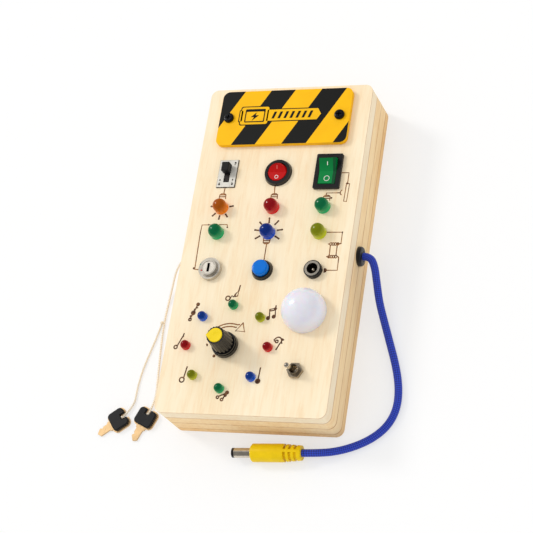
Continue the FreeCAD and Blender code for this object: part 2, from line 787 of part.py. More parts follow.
def build_hazard_plate():
    body = plate_body("hazard_sheet", "hazard_width", "hazard_height", "hazard_thickness",
                      "hazard_radius", ("hazard_x", HAZARD_Y, FRONT))
    holes = flat_sketch(body, "hazard_holes")
    for side in (-1, 1):
        draw_circle(holes, f"{side}*hazard_screw_spacing/2", "0", "hazard_screw_radius + fit_gap")
    pocket(body, "hazard_hole_cuts", holes)
    keep(body, "hazard_plate")
    screws = []
    top = f"({FRONT} + hazard_thickness)"
    for side in (-1, 1):
        name = "hazard_screw_left" if side < 0 else "hazard_screw_right"
        x = f"hazard_x + {side}*hazard_screw_spacing/2"
        shank = cylinder(f"{name}_shank", "hazard_screw_radius", "hazard_screw_length",
                         (x, HAZARD_Y, f"{top} - hazard_screw_length"))
        disc = cylinder(f"{name}_disc", "hazard_head_radius", "hazard_head_height", (x, HAZARD_Y, top))
        blank = fuse(f"{name}_blank", [shank, disc])
        level = front_level() + SIZES["hazard_thickness"] + SIZES["hazard_head_height"]
        head = soften(f"{name}_head", blank, SIZES["hazard_head_round"],
                      top_edges(SIZES["hazard_head_radius"], level))
        slot_level = f"{top} + hazard_head_height/3"
        slots = [
            block(f"{name}_slot_a", "hazard_cross_length", "hazard_cross_width",
                  "hazard_head_height", (x, HAZARD_Y, slot_level)),
            block(f"{name}_slot_b", "hazard_cross_width", "hazard_cross_length",
                  "hazard_head_height", (x, HAZARD_Y, slot_level)),
        ]
        screws.append(cut(name, head, slots))
    keep(group("hazard_screw_group", screws), "hazard_plate_screws")


def build_slide_switch():
    x, y = LEFT_COLUMN, SWITCH_ROW
    plate = block("slide_plate", "slide_plate_width", "slide_plate_length", "slide_plate_thickness",
                  (x, y, FRONT))
    slot = block("slide_slot", "slide_neck_width + 2*move_gap", SLIDE_SLOT_LENGTH,
                 "slide_plate_thickness", (x, y, FRONT))
    tools = [slot]
    inset = "(slide_plate_width/2 - 1.6)"
    for i, (sx, shift) in enumerate(((1, 5.6), (1, -4.2), (1, -6.0), (-1, -4.2), (-1, -6.0))):
        tools.append(cylinder(f"slide_dimple_{i}", "slide_dimple_radius", "slide_plate_thickness",
                              (f"{x} + {sx}*{inset}", f"{y} + {shift}*slide_plate_length/17",
                               f"{FRONT} + slide_plate_thickness/2")))
    keep(cut("slide_frame_cut", plate, tools), "slide_switch_frame")
    body = block("slide_block", "slide_body_width", SLIDE_BODY_LENGTH, "slide_body_depth",
                 (x, y, f"{FRONT} - slide_body_depth"))
    room_depth = "(slide_shoe_height + 4*move_gap)"
    room = block("slide_room", "slide_body_width - 2*slide_body_wall", SLIDE_SLOT_LENGTH, room_depth,
                 (x, y, f"{FRONT} - {room_depth}"))
    keep(cut("slide_body_cut", body, [room]), "slide_switch_body")
    rest_y = f"{y} + slide_travel/2"
    above = "(slide_plate_thickness + move_gap)"
    shoe = block("slide_shoe", "slide_body_width - 2*slide_body_wall - 2*move_gap", "slide_handle_length",
                 "slide_shoe_height", (x, rest_y, f"{FRONT} - slide_shoe_height - 2*move_gap"))
    neck = block("slide_neck", "slide_neck_width", "slide_handle_length",
                 f"{above} + 3*move_gap + 0.5", (x, rest_y, f"{FRONT} - 3*move_gap"))
    head = block("slide_head", "slide_handle_width", "slide_handle_length",
                 f"slide_handle_height - {above}", (x, rest_y, f"{FRONT} + {above}"))
    keep(fuse("slide_handle", [shoe, neck, head]), "slide_switch_handle")


def rocker_tools(name, reach, width):
    """Two tilted blocks that leave the rocker's shallow V, about its pivot."""
    big = "3*" + reach
    near = primitive("Box", f"{name}_cut_up", ("-1*" + width, "0", "rocker_top"), (Vector(1, 0, 0), 1),
                     Length="2*" + width, Width=big, Height=big)
    near.setExpression("Placement.Rotation.Angle", formula("rocker_tilt"))
    far = primitive("Box", f"{name}_cut_down",
                    ("-1*" + width, f"-1*{big}*cos(rocker_tilt)", f"rocker_top + {big}*sin(rocker_tilt)"),
                    (Vector(1, 0, 0), -1), Length="2*" + width, Width=big, Height=big)
    far.setExpression("Placement.Rotation.Angle", formula("-1*rocker_tilt"))
    return [near, far]


def tilt_rocker(obj, x):
    """Put a rocker on its pivot with its lower half pressed in."""
    place(obj, (x, SWITCH_ROW, f"{FRONT} + rocker_pivot_height"), (Vector(1, 0, 0), 1))
    obj.setExpression("Placement.Rotation.Angle", formula("rocker_tilt"))


def rocker_pins(name, half_width):
    length = f"2*({half_width} + rocker_pin_length)"
    return cylinder(f"{name}_pins", "rocker_pin_radius", length, (f"-1*({length})/2", "0", "0"), ALONG_X)


def pin_hole(name, x, half_width):
    length = f"2*({half_width} + rocker_pin_length + move_gap)"
    return cylinder(f"{name}_pin_hole", "rocker_pin_radius + shaft_gap", length,
                    (f"{x} - ({length})/2", SWITCH_ROW, f"{FRONT} + rocker_pivot_height"), ALONG_X)


def build_round_rocker():
    x, y = MIDDLE_COLUMN, SWITCH_ROW
    room_radius = "round_rocker_radius + move_gap"
    room_low = f"{FRONT} + rocker_pivot_height - round_rocker_radius - move_gap"
    low = f"({room_low} - rocker_floor)"
    barrel = cylinder("round_barrel", ROUND_HOUSING_RADIUS, f"{FRONT} - {low}", (x, y, low))
    bezel = cone("round_bezel", "round_bezel_radius", "round_bezel_radius - bezel_round",
                 "rocker_bezel_height", (x, y, FRONT))
    room = cylinder("round_room", room_radius, f"{FRONT} + rocker_bezel_height - ({room_low})",
                    (x, y, room_low))
    hole = pin_hole("round", x, "round_rocker_radius")
    keep(cut("round_housing_cut", fuse("round_housing_blank", [barrel, bezel]), [room, hole]),
         "round_rocker_housing")
    disc = block("round_span", "3*round_rocker_radius", "3*round_rocker_radius",
                 "rocker_skirt + 2*round_rocker_radius", ("0", "0", "-1*rocker_skirt"))
    drum = common("round_drum", disc, ball("round_ball", "round_rocker_radius", ("0", "0", "0")))
    shaped = cut("round_top", drum, rocker_tools("round", "round_rocker_radius", "round_rocker_radius"))
    button = fuse("round_rocker", [shaped, rocker_pins("round", "round_rocker_radius")])
    tilt_rocker(button, x)
    keep(button, "round_rocker_button")


def build_square_rocker():
    x, y = RIGHT_COLUMN, SWITCH_ROW
    room_low = f"({FRONT} + rocker_pivot_height - square_rocker_reach - move_gap)"
    low = f"({room_low} - rocker_floor)"
    barrel = block("square_barrel", SQUARE_HOUSING_WIDTH, SQUARE_HOUSING_LENGTH, f"{FRONT} - {low}",
                   (x, y, low))
    bezel = plate_body("square_bezel", "square_bezel_width", "square_bezel_length",
                       "rocker_bezel_height", "bezel_round", (x, y, FRONT))
    room = block("square_room", "square_rocker_width + 2*move_gap",
                 "2*square_rocker_reach + 2*move_gap",
                 f"{FRONT} + rocker_bezel_height - {room_low}", (x, y, room_low))
    hole = pin_hole("square", x, "square_rocker_width/2")
    keep(cut("square_housing_cut", fuse("square_housing_blank", [barrel, bezel]), [room, hole]),
         "square_rocker_housing")
    bar = block("square_bar", "square_rocker_width", "2*square_rocker_reach",
                "rocker_skirt + square_rocker_reach", ("0", "0", "-1*rocker_skirt"))
    roll = cylinder("square_roll", "square_rocker_reach", "2*square_rocker_width",
                    ("-1*square_rocker_width", "0", "0"), ALONG_X)
    drum = common("square_drum", bar, roll)
    shaped = cut("square_top", drum, rocker_tools("square", "square_rocker_reach", "square_rocker_width"))
    button = fuse("square_rocker", [shaped, rocker_pins("square", "square_rocker_width/2")])
    tilt_rocker(button, x)
    keep(button, "square_rocker_button")


def lamp(name, x, y, radius, proud):
    """A moulded lamp: round-topped lens, flange under the face, two leads."""
    flange_low = f"({UNDER} - lamp_flange_height)"
    lens = cylinder(f"{name}_lens", radius, f"face_thickness + {proud} - {radius}", (x, y, UNDER))
    tip = upper_ball(f"{name}_tip", radius, (x, y, f"{FRONT} + {proud} - {radius}"))
    flange = cylinder(f"{name}_flange", f"{radius} + lamp_flange", "lamp_flange_height", (x, y, flange_low))
    length = "board_sheet + lead_below"
    leads = [block(f"{name}_lead_{side + 1}", "lead_width", "lead_width", length,
                   (f"{x} + {side}*lead_spacing/2", y, f"{flange_low} - board_sheet - lead_below"))
             for side in (-1, 1)]
    return fuse(name, [lens, tip, flange] + leads)


def build_lamps():
    lead_tools = []
    board_top = f"({UNDER} - lamp_flange_height)"

    def drill(name, x, y):
        for side in (-1, 1):
            lead_tools.append(cylinder(f"{name}_hole_{side + 1}", "lead_width", "board_sheet",
                                       (f"{x} + {side}*lead_spacing/2", y, f"{board_top} - board_sheet")))

    for name, (x, y) in LAMPS.items():
        keep(lamp(f"{name}_piece", x, y, "lamp_radius", "lamp_proud"), name)
        drill(name, x, y)
    for name, angles in RING_LAMPS.items():
        pieces = []
        for angle in angles:
            x, y = ring_place(angle)
            pieces.append(lamp(f"{name}_{angle}", x, y, "ring_lamp_radius", "ring_lamp_proud"))
            drill(f"{name}_{angle}", x, y)
        keep(group(f"{name}_group", pieces), name)
    # circuit boards, kept inside the hollow
    board_low = f"{board_top} - board_sheet"
    reach = "(lead_spacing/2 + lead_width + board_margin)"
    strip = block("lamp_strip", f"{RIGHT_COLUMN} - {LEFT_COLUMN} + 2*{reach}",
                  f"{UPPER_LAMP_ROW} - {LOWER_LAMP_ROW} + 2*{reach}", "board_sheet",
                  (f"({RIGHT_COLUMN} + {LEFT_COLUMN})/2", f"({UPPER_LAMP_ROW} + {LOWER_LAMP_ROW})/2",
                   board_low))
    disc = cylinder("ring_disc", f"ring_radius + {reach}", "board_sheet",
                    (RING_X, RING_Y, board_low))
    bore = cylinder("ring_bore", "ring_board_bore", "board_sheet", (RING_X, RING_Y, board_low))
    limit = block("board_limit", f"{CAVITY_WIDTH} - 2*move_gap", f"{CAVITY_LENGTH} - 2*move_gap",
                  "board_sheet", ("0", "0", board_low))
    whole = common("board_outline", group("board_pair", [strip, disc]), limit)
    keep(cut("board_cut", whole, [bore] + lead_tools), "light_boards")


def build_lock():
    x, y = LEFT_COLUMN, SOCKET_ROW
    low = f"({FRONT} - lock_barrel_depth)"
    shell = fuse("lock_shell", [
        cylinder("lock_barrel", "lock_barrel_radius", "lock_barrel_depth", (x, y, low)),
        cylinder("lock_flange", "lock_flange_radius", "lock_flange_height", (x, y, FRONT)),
        cone("lock_step", "lock_step_radius", "lock_step_radius - lock_step_slope", "lock_step_height",
             (x, y, FRONT)),
        cylinder("lock_lip", "lock_lip_radius", "lock_face_height", (x, y, FRONT)),
    ])
    floor = f"({low} + lock_floor)"
    bore = cylinder("lock_bore", "lock_plug_radius + shaft_gap",
                    f"{FRONT} + lock_face_height - {floor}", (x, y, floor))
    tail_hole = cylinder("lock_tail_hole", "cam_square/sqrt(2) + fit_gap", "lock_floor", (x, y, low))
    keep(cut("lock_body_cut", shell, [bore, tail_hole]), "lock_body")
    cam_top = f"({low} - move_gap)"
    tail_low = f"({cam_top} - cam_sheet - move_gap)"
    plug_low = f"({floor} + move_gap)"
    plug = fuse("lock_core", [
        cylinder("lock_plug_round", "lock_plug_radius",
                 f"{FRONT} + lock_face_height - move_gap - {plug_low}", (x, y, plug_low)),
        block("lock_plug_tail", "cam_square", "cam_square", f"{plug_low} - {tail_low}", (x, y, tail_low)),
    ])
    keyway = block("keyway", "keyway_width", "keyway_length", "keyway_depth",
                   (x, y, f"{FRONT} + lock_face_height - move_gap - keyway_depth"))
    keep(cut("lock_plug_cut", plug, [keyway]), "lock_plug")
    arm = block("cam_arm", "cam_width", "cam_length", "cam_sheet",
                (x, f"{y} + cam_length/2 - cam_width/2", f"{cam_top} - cam_sheet"))
    eye = block("cam_eye", "cam_square + 2*shaft_gap", "cam_square + 2*shaft_gap", "cam_sheet",
                (x, y, f"{cam_top} - cam_sheet"))
    keep(cut("lock_cam_cut", arm, [eye]), "lock_cam")
    panel_nut("lock_nut", x, y, "lock_nut_flats", "lock_nut_height", "lock_barrel_radius",
              f"{UNDER} - lock_nut_height")


def panel_nut(name, x, y, flats, height, thread_radius, level):
    """A hexagonal nut on a threaded neck."""
    blank = hexagon(f"{name}_blank", flats, height, (x, y, level))
    bore = cylinder(f"{name}_bore", f"{thread_radius} + shaft_gap", height, (x, y, level))
    keep(cut(f"{name}_cut", blank, [bore]), name)


def build_push_button():
    x, y = MIDDLE_COLUMN, SOCKET_ROW
    low = f"({FRONT} - button_barrel_depth)"
    shell = fuse("button_shell", [
        cylinder("button_barrel", "button_barrel_radius", "button_barrel_depth", (x, y, low)),
        cone("button_collar", "button_collar_radius", "button_collar_radius - button_collar_slope",
             "button_collar_height", (x, y, FRONT)),
    ])
    room = cylinder("button_room", "button_cap_radius + shaft_gap",
                    "button_barrel_depth - button_floor + button_collar_height",
                    (x, y, f"{low} + button_floor"))
    keep(cut("button_body_cut", shell, [room]), "push_button_body")
    cap_low = f"({FRONT} - button_cap_depth)"
    stem_height = ("(button_cap_depth + button_collar_height + button_travel + fit_gap"
                   " - button_cap_round)")
    cap = fuse("button_cap", [
        cylinder("button_cap_round_part", "button_cap_radius", stem_height, (x, y, cap_low)),
        cone("button_cap_edge", "button_cap_radius", "button_cap_radius - button_cap_round",
             "button_cap_round", (x, y, f"{cap_low} + {stem_height}")),
    ])
    keep(cap, "push_button_cap")
    spring_low = f"({low} + button_floor)"
    tube = cylinder("spring_tube", "spring_radius", f"{cap_low} - {spring_low}", (x, y, spring_low))
    tube_bore = cylinder("spring_bore", "spring_radius - spring_wire", f"{cap_low} - {spring_low}",
                         (x, y, spring_low))
    keep(cut("spring_cut", tube, [tube_bore]), "push_button_spring")
    panel_nut("push_button_nut", x, y, "button_nut_flats", "button_nut_height", "button_barrel_radius",
              f"{UNDER} - button_nut_height")


def build_jack():
    x, y = RIGHT_COLUMN, SOCKET_ROW
    low = f"({FRONT} - jack_barrel_depth)"
    shell = fuse("jack_shell", [
        cylinder("jack_barrel", "jack_barrel_radius", "jack_barrel_depth", (x, y, low)),
        cylinder("jack_collar", "jack_collar_radius", "jack_collar_height", (x, y, FRONT)),
    ])
    ring_low = f"({FRONT} + jack_collar_height - jack_ring_depth)"
    sleeve_radius = "(jack_bore_radius + jack_sleeve_wall)"
    tools = [
        cylinder("jack_ring_seat", "jack_ring_radius", "jack_ring_depth", (x, y, ring_low)),
        cylinder("jack_sleeve_seat", sleeve_radius, f"jack_sleeve_depth + jack_collar_height",
                 (x, y, f"{FRONT} - jack_sleeve_depth")),
        cylinder("jack_pin_seat", "jack_pin_radius", "jack_barrel_depth", (x, y, f"{low} + 1")),
    ]
    keep(cut("jack_housing_cut", shell, tools), "jack_housing")
    ring = fuse("jack_ring_blank", [
        cylinder("jack_ring_disc", "jack_ring_radius", "jack_ring_depth + jack_ring_proud",
                 (x, y, ring_low)),
        cylinder("jack_sleeve", sleeve_radius, "jack_sleeve_depth + jack_collar_height - jack_ring_depth",
                 (x, y, f"{FRONT} - jack_sleeve_depth")),
    ])
    mouth = cylinder("jack_mouth", "jack_bore_radius",
                     "jack_sleeve_depth + jack_collar_height + jack_ring_proud",
                     (x, y, f"{FRONT} - jack_sleeve_depth"))
    pin_low = f"({low} + 1)"
    pin_top = f"({FRONT} + jack_collar_height - jack_pin_below)"
    shaft = cylinder("jack_pin_shaft", "jack_pin_radius", f"{pin_top} - {pin_low} - jack_pin_radius",
                     (x, y, pin_low))
    nose = upper_ball("jack_pin_nose", "jack_pin_radius", (x, y, f"{pin_top} - jack_pin_radius"))
    pin = fuse("jack_pin", [shaft, nose])
    keep(group("jack_metal", [cut("jack_ring", ring, [mouth]), pin]), "jack_contacts")
    panel_nut("jack_nut", x, y, "jack_nut_flats", "jack_nut_height", "jack_barrel_radius",
              f"{UNDER} - jack_nut_height")


def build_dome_lamp():
    x, y = DOME_X, DOME_Y
    inner = "(dome_radius - dome_wall)"
    outside = fuse("dome_outside", [
        cylinder("dome_band_outer", "dome_radius", "dome_band", (x, y, FRONT)),
        upper_ball("dome_cap_outer", "dome_radius", (x, y, f"{FRONT} + dome_band")),
    ])
    inside = fuse("dome_inside", [
        cylinder("dome_band_inner", inner, "dome_band", (x, y, FRONT)),
        upper_ball("dome_cap_inner", inner, (x, y, f"{FRONT} + dome_band")),
    ])
    keep(cut("dome_cover_cut", outside, [inside]), "dome_lamp_cover")
    base = fuse("dome_base", [
        cylinder("dome_base_round", "dome_base_radius", "face_thickness + dome_base_proud", (x, y, UNDER)),
        cylinder("dome_base_flange", "dome_flange_radius", "dome_flange_height",
                 (x, y, f"{UNDER} - dome_flange_height")),
    ])
    keep(base, "dome_lamp_base")
    stem_low = f"({FRONT} + dome_base_proud)"
    bulb = fuse("dome_bulb", [
        cylinder("dome_bulb_stem", "dome_bulb_radius", "dome_bulb_height - dome_bulb_radius",
                 (x, y, stem_low)),
        upper_ball("dome_bulb_top", "dome_bulb_radius",
                   (x, y, f"{stem_low} + dome_bulb_height - dome_bulb_radius")),
    ])
    keep(bulb, "dome_lamp_bulb")


def build_toggle():
    x, y = TOGGLE_X, TOGGLE_Y
    pivot = f"({FRONT} + toggle_pivot_height)"
    shell = fuse("toggle_shell", [
        block("toggle_block", "toggle_body_length", "toggle_body_width", "toggle_body_depth",
              (x, y, f"{UNDER} - toggle_body_depth")),
        cylinder("toggle_neck", "toggle_neck_radius", "face_thickness + toggle_neck_height",
                 (x, y, UNDER)),
    ])
    down = f"({pivot} - {UNDER} + toggle_room_depth)"
    tools = [
        ball("toggle_socket", "toggle_ball_radius + shaft_gap", (x, y, pivot)),
        cone("toggle_mouth", "toggle_lever_radius + move_gap", "toggle_mouth_radius",
             "toggle_neck_height - toggle_pivot_height", (x, y, pivot)),
        cone("toggle_throat", "toggle_mouth_radius", "toggle_ball_radius - move_gap", down,
             (x, y, f"{pivot} - {down}")),
        block("toggle_room", "toggle_body_width", "toggle_body_width - 2", "toggle_room_depth - toggle_lid",
              (x, y, f"{pivot} - {down}")),
    ]
    keep(cut("toggle_body_cut", shell, tools), "toggle_body")
    panel_nut("toggle_nut", x, y, "toggle_nut_flats", "toggle_nut_height", "toggle_neck_radius", FRONT)
    lever = fuse("toggle_stick", [
        ball("toggle_ball", "toggle_ball_radius", ("0", "0", "0")),
        cone("toggle_shaft", "toggle_lever_radius", "toggle_tip_radius - 0.15", "toggle_lever_length",
             ("0", "0", "0")),
        ball("toggle_tip", "toggle_tip_radius", ("0", "0", "toggle_lever_length")),
        cylinder("toggle_tail", "toggle_tail_radius", "toggle_tail_length",
                 ("0", "0", "-1*toggle_tail_length")),
    ])
    place(lever, (x, y, pivot), (Vector(0, 1, 0), -1))
    lever.setExpression("Placement.Rotation.Angle", formula("-1*toggle_tilt"))
    keep(lever, "toggle_lever")


def build_rotary_switch():
    x, y = RING_X, RING_Y
    low = f"({UNDER} - rotary_body_depth)"
    shell = fuse("rotary_shell", [
        cylinder("rotary_can", "rotary_body_radius", "rotary_body_depth", (x, y, low)),
        cylinder("rotary_neck", "rotary_neck_radius", "face_thickness + rotary_neck_height", (x, y, UNDER)),
    ])
    room_height = "(rotary_disc_height + 2*move_gap)"
    room_low = f"({low} + rotary_body_wall)"
    tools = [
        cylinder("rotary_room", "rotary_disc_radius + move_gap", room_height, (x, y, room_low)),
        cylinder("rotary_bore", "rotary_shaft_radius + shaft_gap",
                 f"{FRONT} + rotary_neck_height - {room_low}", (x, y, room_low)),
    ]
    keep(cut("rotary_body_cut", shell, tools), "rotary_switch_body")
    panel_nut("rotary_switch_nut", x, y, "rotary_nut_flats", "rotary_nut_height", "rotary_neck_radius",
              FRONT)
    knob_low = f"({FRONT} + knob_base_gap)"
    body_low = f"({knob_low} + knob_skirt_height + knob_ring_height)"
    shaft_top = f"({FRONT} + rotary_neck_height + knob_shaft_depth)"
    disc_low = f"({room_low} + move_gap)"
    shaft = fuse("rotary_shaft", [
        cylinder("rotary_disc", "rotary_disc_radius", "rotary_disc_height", (x, y, disc_low)),
        cylinder("rotary_rod", "rotary_shaft_radius", f"{shaft_top} - {disc_low}", (x, y, disc_low)),
    ])
    keep(shaft, "rotary_switch_shaft")
    blank = fuse("knob_blank", [
        cone("knob_skirt", "knob_skirt_radius", "knob_skirt_radius - knob_skirt_slope", "knob_skirt_height",
             (x, y, knob_low)),
        cylinder("knob_ring", "knob_ring_radius", "knob_skirt_height + knob_ring_height", (x, y, knob_low)),
        cone("knob_cone", "knob_foot_radius", "knob_top_radius", "knob_body_height", (x, y, body_low)),
    ])
    nut_room = "rotary_nut_flats/sqrt(3) + move_gap"
    tools = [
        cylinder("knob_nut_room", nut_room, "rotary_neck_height + move_gap - knob_base_gap",
                 (x, y, knob_low)),
        cylinder("knob_bore", "rotary_shaft_radius", f"{shaft_top} - {knob_low}", (x, y, knob_low)),
        teardrop("knob_cap_seat", "knob_cap_seat", SIZES["fit_gap"]),
    ]
    count = int(SIZES["knob_flute_count"])
    for i in range(count):
        tools.append(flute(i, 360*i/count))
    keep(cut("knob_cut", blank, tools), "knob_body")
    keep(teardrop("knob_cap_piece", "knob_cap", 0.0), "knob_cap")


def front_level():
    return SIZES["back_thickness"] + 2*SIZES["layer_thickness"] + SIZES["board_thickness"]


def ring_centre(level):
    """The knob's axis at one level."""
    return Vector(SIZES["ring_side_margin"] - SIZES["board_width"]/2,
                  SIZES["ring_end_margin"] - SIZES["board_length"]/2, level)


def knob_levels():
    """Heights of the knob's fluted part: its foot and its top."""
    foot = (front_level() + SIZES["knob_base_gap"] + SIZES["knob_skirt_height"]
            + SIZES["knob_ring_height"])
    return foot, foot + SIZES["knob_body_height"]


def feature(name, shape):
    """An object whose shape is worked out here from the sizes."""
    obj = doc.addObject("Part::Feature", name)
    obj.Shape = shape
    return obj


def flute(index, angle):
    """A groove down the knob's tapered side."""
    foot, top = knob_levels()
    centre = ring_centre(foot + 0.4)
    way = Vector(math.cos(math.radians(angle)), math.sin(math.radians(angle)), 0)
    start = centre + way*(SIZES["knob_foot_radius"] + 0.15)
    end = centre + way*(SIZES["knob_top_radius"] + 0.15) + Vector(0, 0, top - foot + 0.6)
    rod = Part.makeCylinder(SIZES["knob_flute_radius"], (end - start).Length, start, end - start)
    return feature(f"knob_flute_{index}", rod)


def teardrop(name, label, grow):
    """A round cap with a point towards -X, at the knob's top."""
    foot, top = knob_levels()
    radius = SIZES["knob_cap_radius"] + grow
    reach = SIZES["knob_pointer_reach"] + grow
    half = math.acos(radius/reach)
    upper = Vector(-radius*math.cos(half), radius*math.sin(half), 0)
    lower = Vector(-radius*math.cos(half), -radius*math.sin(half), 0)
    point = Vector(-reach, 0, 0)
    outline = Part.Wire([
        Part.Arc(upper, Vector(radius, 0, 0), lower).toShape(),
        Part.LineSegment(lower, point).toShape(),
        Part.LineSegment(point, upper).toShape(),
    ])
    low = top + SIZES["knob_cap_proud"] - SIZES["knob_cap_height"]
    face = Part.Face(outline)
    solid = face.extrude(Vector(0, 0, SIZES["knob_cap_height"]))
    obj = feature(name, solid)
    obj.Placement = Placement(ring_centre(low), Rotation())
    return obj


def build_grommet():
    neck = cylinder("grommet_neck", "grommet_neck_radius", "wall_thickness + grommet_inner_height + 1",
                    ("board_width/2 - wall_thickness - grommet_inner_height", "0", MIDDLE), ALONG_X)
    outer = cylinder("grommet_outer", "grommet_radius", "grommet_height - grommet_round",
                     ("board_width/2", "0", MIDDLE), ALONG_X)
    nose = cone("grommet_nose", "grommet_radius", "grommet_radius - grommet_round", "grommet_round",
                ("board_width/2 + grommet_height - grommet_round", "0", MIDDLE), ALONG_X)
    inner = cylinder("grommet_inner", "grommet_neck_radius + grommet_inner_lip", "grommet_inner_height",
                     ("board_width/2 - wall_thickness - grommet_inner_height", "0", MIDDLE), ALONG_X)
    keep(fuse("grommet", [neck, outer, nose, inner]), "cable_grommet")


def tube_path(name, points):
    """Straight runs joined by tangent arcs, through hand-chosen corner points."""
    corners = [Vector(*point) for point in points]
    edges = []
    radii = []
    start = corners[0]
    for before, corner, after in zip(corners, corners[1:], corners[2:]):
        back = before - corner
        ahead = after - corner
        shorter = min(back.Length, ahead.Length)
        reach = 0.45*shorter
        half_turn = (math.pi - back.getAngle(ahead))/2
        radii.append(reach/math.tan(half_turn))
        back.normalize()
        ahead.normalize()
        first = corner + back*reach
        last = corner + ahead*reach
        inward = (back + ahead).normalize()
        centre = corner + inward*(radii[-1]/math.cos(half_turn))
        middle = centre - inward*radii[-1]
        edges.append(Part.LineSegment(start, first).toShape())
        edges.append(Part.Arc(first, middle, last).toShape())
        start = last
    edges.append(Part.LineSegment(start, corners[-1]).toShape())
    path = Part.Wire(edges)
    print(name, "bend radii", [round(radius, 1) for radius in radii], "length", round(path.Length, 1))
    return path


def tube(name, points, diameter):
    path = tube_path(name, points)
    way = Vector(*points[1]) - Vector(*points[0])
    ring = Part.Wire([Part.Circle(Vector(*points[0]), way, diameter/2).toShape()])
    solid = path.makePipeShell([ring], True, False)
    expected = math.pi*diameter**2/4*path.Length
    print(name, "volume", round(solid.Volume, 2), "section times length", round(expected, 2))
    keep(feature(f"{name}_tube", solid), name)


def build_plug():
    """Moulded plug at the lead's end: body with grip grooves, metal barrel, black tip ring."""
    tail = Vector(*CABLE_POINTS[-1])
    seat = Placement(tail, Rotation(Vector(0, 0, 1), PLUG_TURN))

    def along(name, radius, length, start):
        return cylinder(name, radius, length, (start, "0", "0"), ALONG_X)

    taper = cone("plug_taper", "plug_tail_radius", "plug_radius", "plug_taper_length",
                 ("0", "0", "0"), ALONG_X)
    grip = along("plug_grip", "plug_radius", "plug_length - plug_taper_length - plug_round",
                 "plug_taper_length")
    shoulder = cone("plug_shoulder", "plug_radius", "plug_radius - plug_round", "plug_round",
                    ("plug_length - plug_round", "0", "0"), ALONG_X)
    blank = fuse("plug_blank", [taper, grip, shoulder])
    grooves = []
    for i in range(3):
        start = f"plug_groove_start + {i}*2*plug_groove_width"
        outer = along(f"plug_groove_outer_{i}", "plug_radius + 1", "plug_groove_width", start)
        inner = along(f"plug_groove_inner_{i}", "plug_tail_radius - plug_groove_depth",
                      "plug_groove_width", start)
        ring = cut(f"plug_groove_ring_{i}", outer, [inner])
        bridge = primitive("Box", f"plug_bridge_{i}",
                           (start, "-1*plug_bridge_width/2", "-1*plug_radius - 1"), None,
                           Length="plug_groove_width", Width="plug_bridge_width",
                           Height="2*plug_radius + 2")
        grooves.append(cut(f"plug_groove_{i}", ring, [bridge]))
    body = cut("plug_shape", blank, grooves)
    body.Placement = seat
    keep(body, "plug_body")
    length = "(barrel_length + tip_ring_length)"
    barrel = along("barrel_round", "barrel_radius", "barrel_length", "plug_length")
    hole = along("barrel_hole", "barrel_bore_radius", "barrel_bore_depth",
                 "plug_length + barrel_length - barrel_bore_depth")
    metal = cut("barrel_shape", barrel, [hole])
    metal.Placement = seat
    keep(metal, "plug_barrel")
    ring = along("tip_round", "barrel_radius", "tip_ring_length", "plug_length + barrel_length")
    hole = along("tip_hole", "barrel_bore_radius", "tip_ring_length", "plug_length + barrel_length")
    tip = cut("tip_shape", ring, [hole])
    tip.Placement = seat
    keep(tip, "plug_tip_ring")


def bow_outline(inset):
    """Rounded outline of a key's bow, as a face. The key points along +X."""
    back = -SIZES["key_bow_back"] + inset
    front = SIZES["key_bow_front"] - inset
    half = SIZES["key_bow_width"]/2 - inset
    radius = SIZES["key_bow_radius"] - inset
    slab = Part.makeBox(front - back, 2*half, 1, Vector(back, -half, 0))
    uprights = [edge for edge in slab.Edges if edge.BoundBox.ZLength > 0.5]
    rounded = slab.makeFillet(radius, uprights)
    floor = [face for face in rounded.Faces if face.BoundBox.ZMax < 1e-6][0]
    return floor


def notch(height):
    """The open slot at the bow's end, where the string is tied."""
    width = SIZES["key_notch_width"]
    start = -SIZES["key_bow_back"] - 1
    return Part.makeBox(SIZES["key_notch_end"] - start, width, height, Vector(start, -width/2, 0))


def key_blank():
    """Brass sheet: the bow under the head, and the blade with its pointed tip and cuts."""
    sheet_height = SIZES["key_sheet"]
    bow = bow_outline(0).extrude(Vector(0, 0, sheet_height))
    half = SIZES["key_blade_width"]/2
    start = SIZES["key_bow_front"] - SIZES["key_bow_radius"]
    end = SIZES["key_blade_end"]
    shoulder = SIZES["key_shoulder"]
    wide_end = SIZES["key_bow_front"] + shoulder
    cut_end = end - SIZES["key_tip"] - SIZES["key_cut"]
    outline = [
        (start, -half - shoulder),
        (wide_end, -half - shoulder),
        (wide_end + shoulder, -half),
        (cut_end - 2*SIZES["key_cut"], -half),
        (cut_end - SIZES["key_cut"], -half + SIZES["key_cut"]),
        (cut_end, -half),
        (end - SIZES["key_tip"], -half),
        (end, 0),
        (end - SIZES["key_tip"]/2, half),
        (wide_end + shoulder, half),
        (wide_end, half + shoulder),
        (start, half + shoulder),
    ]
    wire = Part.makePolygon([Vector(x, y, 0) for x, y in outline + outline[:1]])
    blade = Part.Face(wire).extrude(Vector(0, 0, sheet_height))
    return bow.fuse(blade).removeSplitter().cut(notch(sheet_height))


def key_head():
    """Black plastic head on the bow, a little smaller than the brass under it."""
    shape = bow_outline(SIZES["key_rim"]).extrude(Vector(0, 0, SIZES["key_head_height"]))
    top = [edge for edge in shape.Edges if level_of(edge) == SIZES["key_head_height"]]
    shape = shape.makeFillet(0.5, top)
    return shape.cut(notch(SIZES["key_head_height"]))


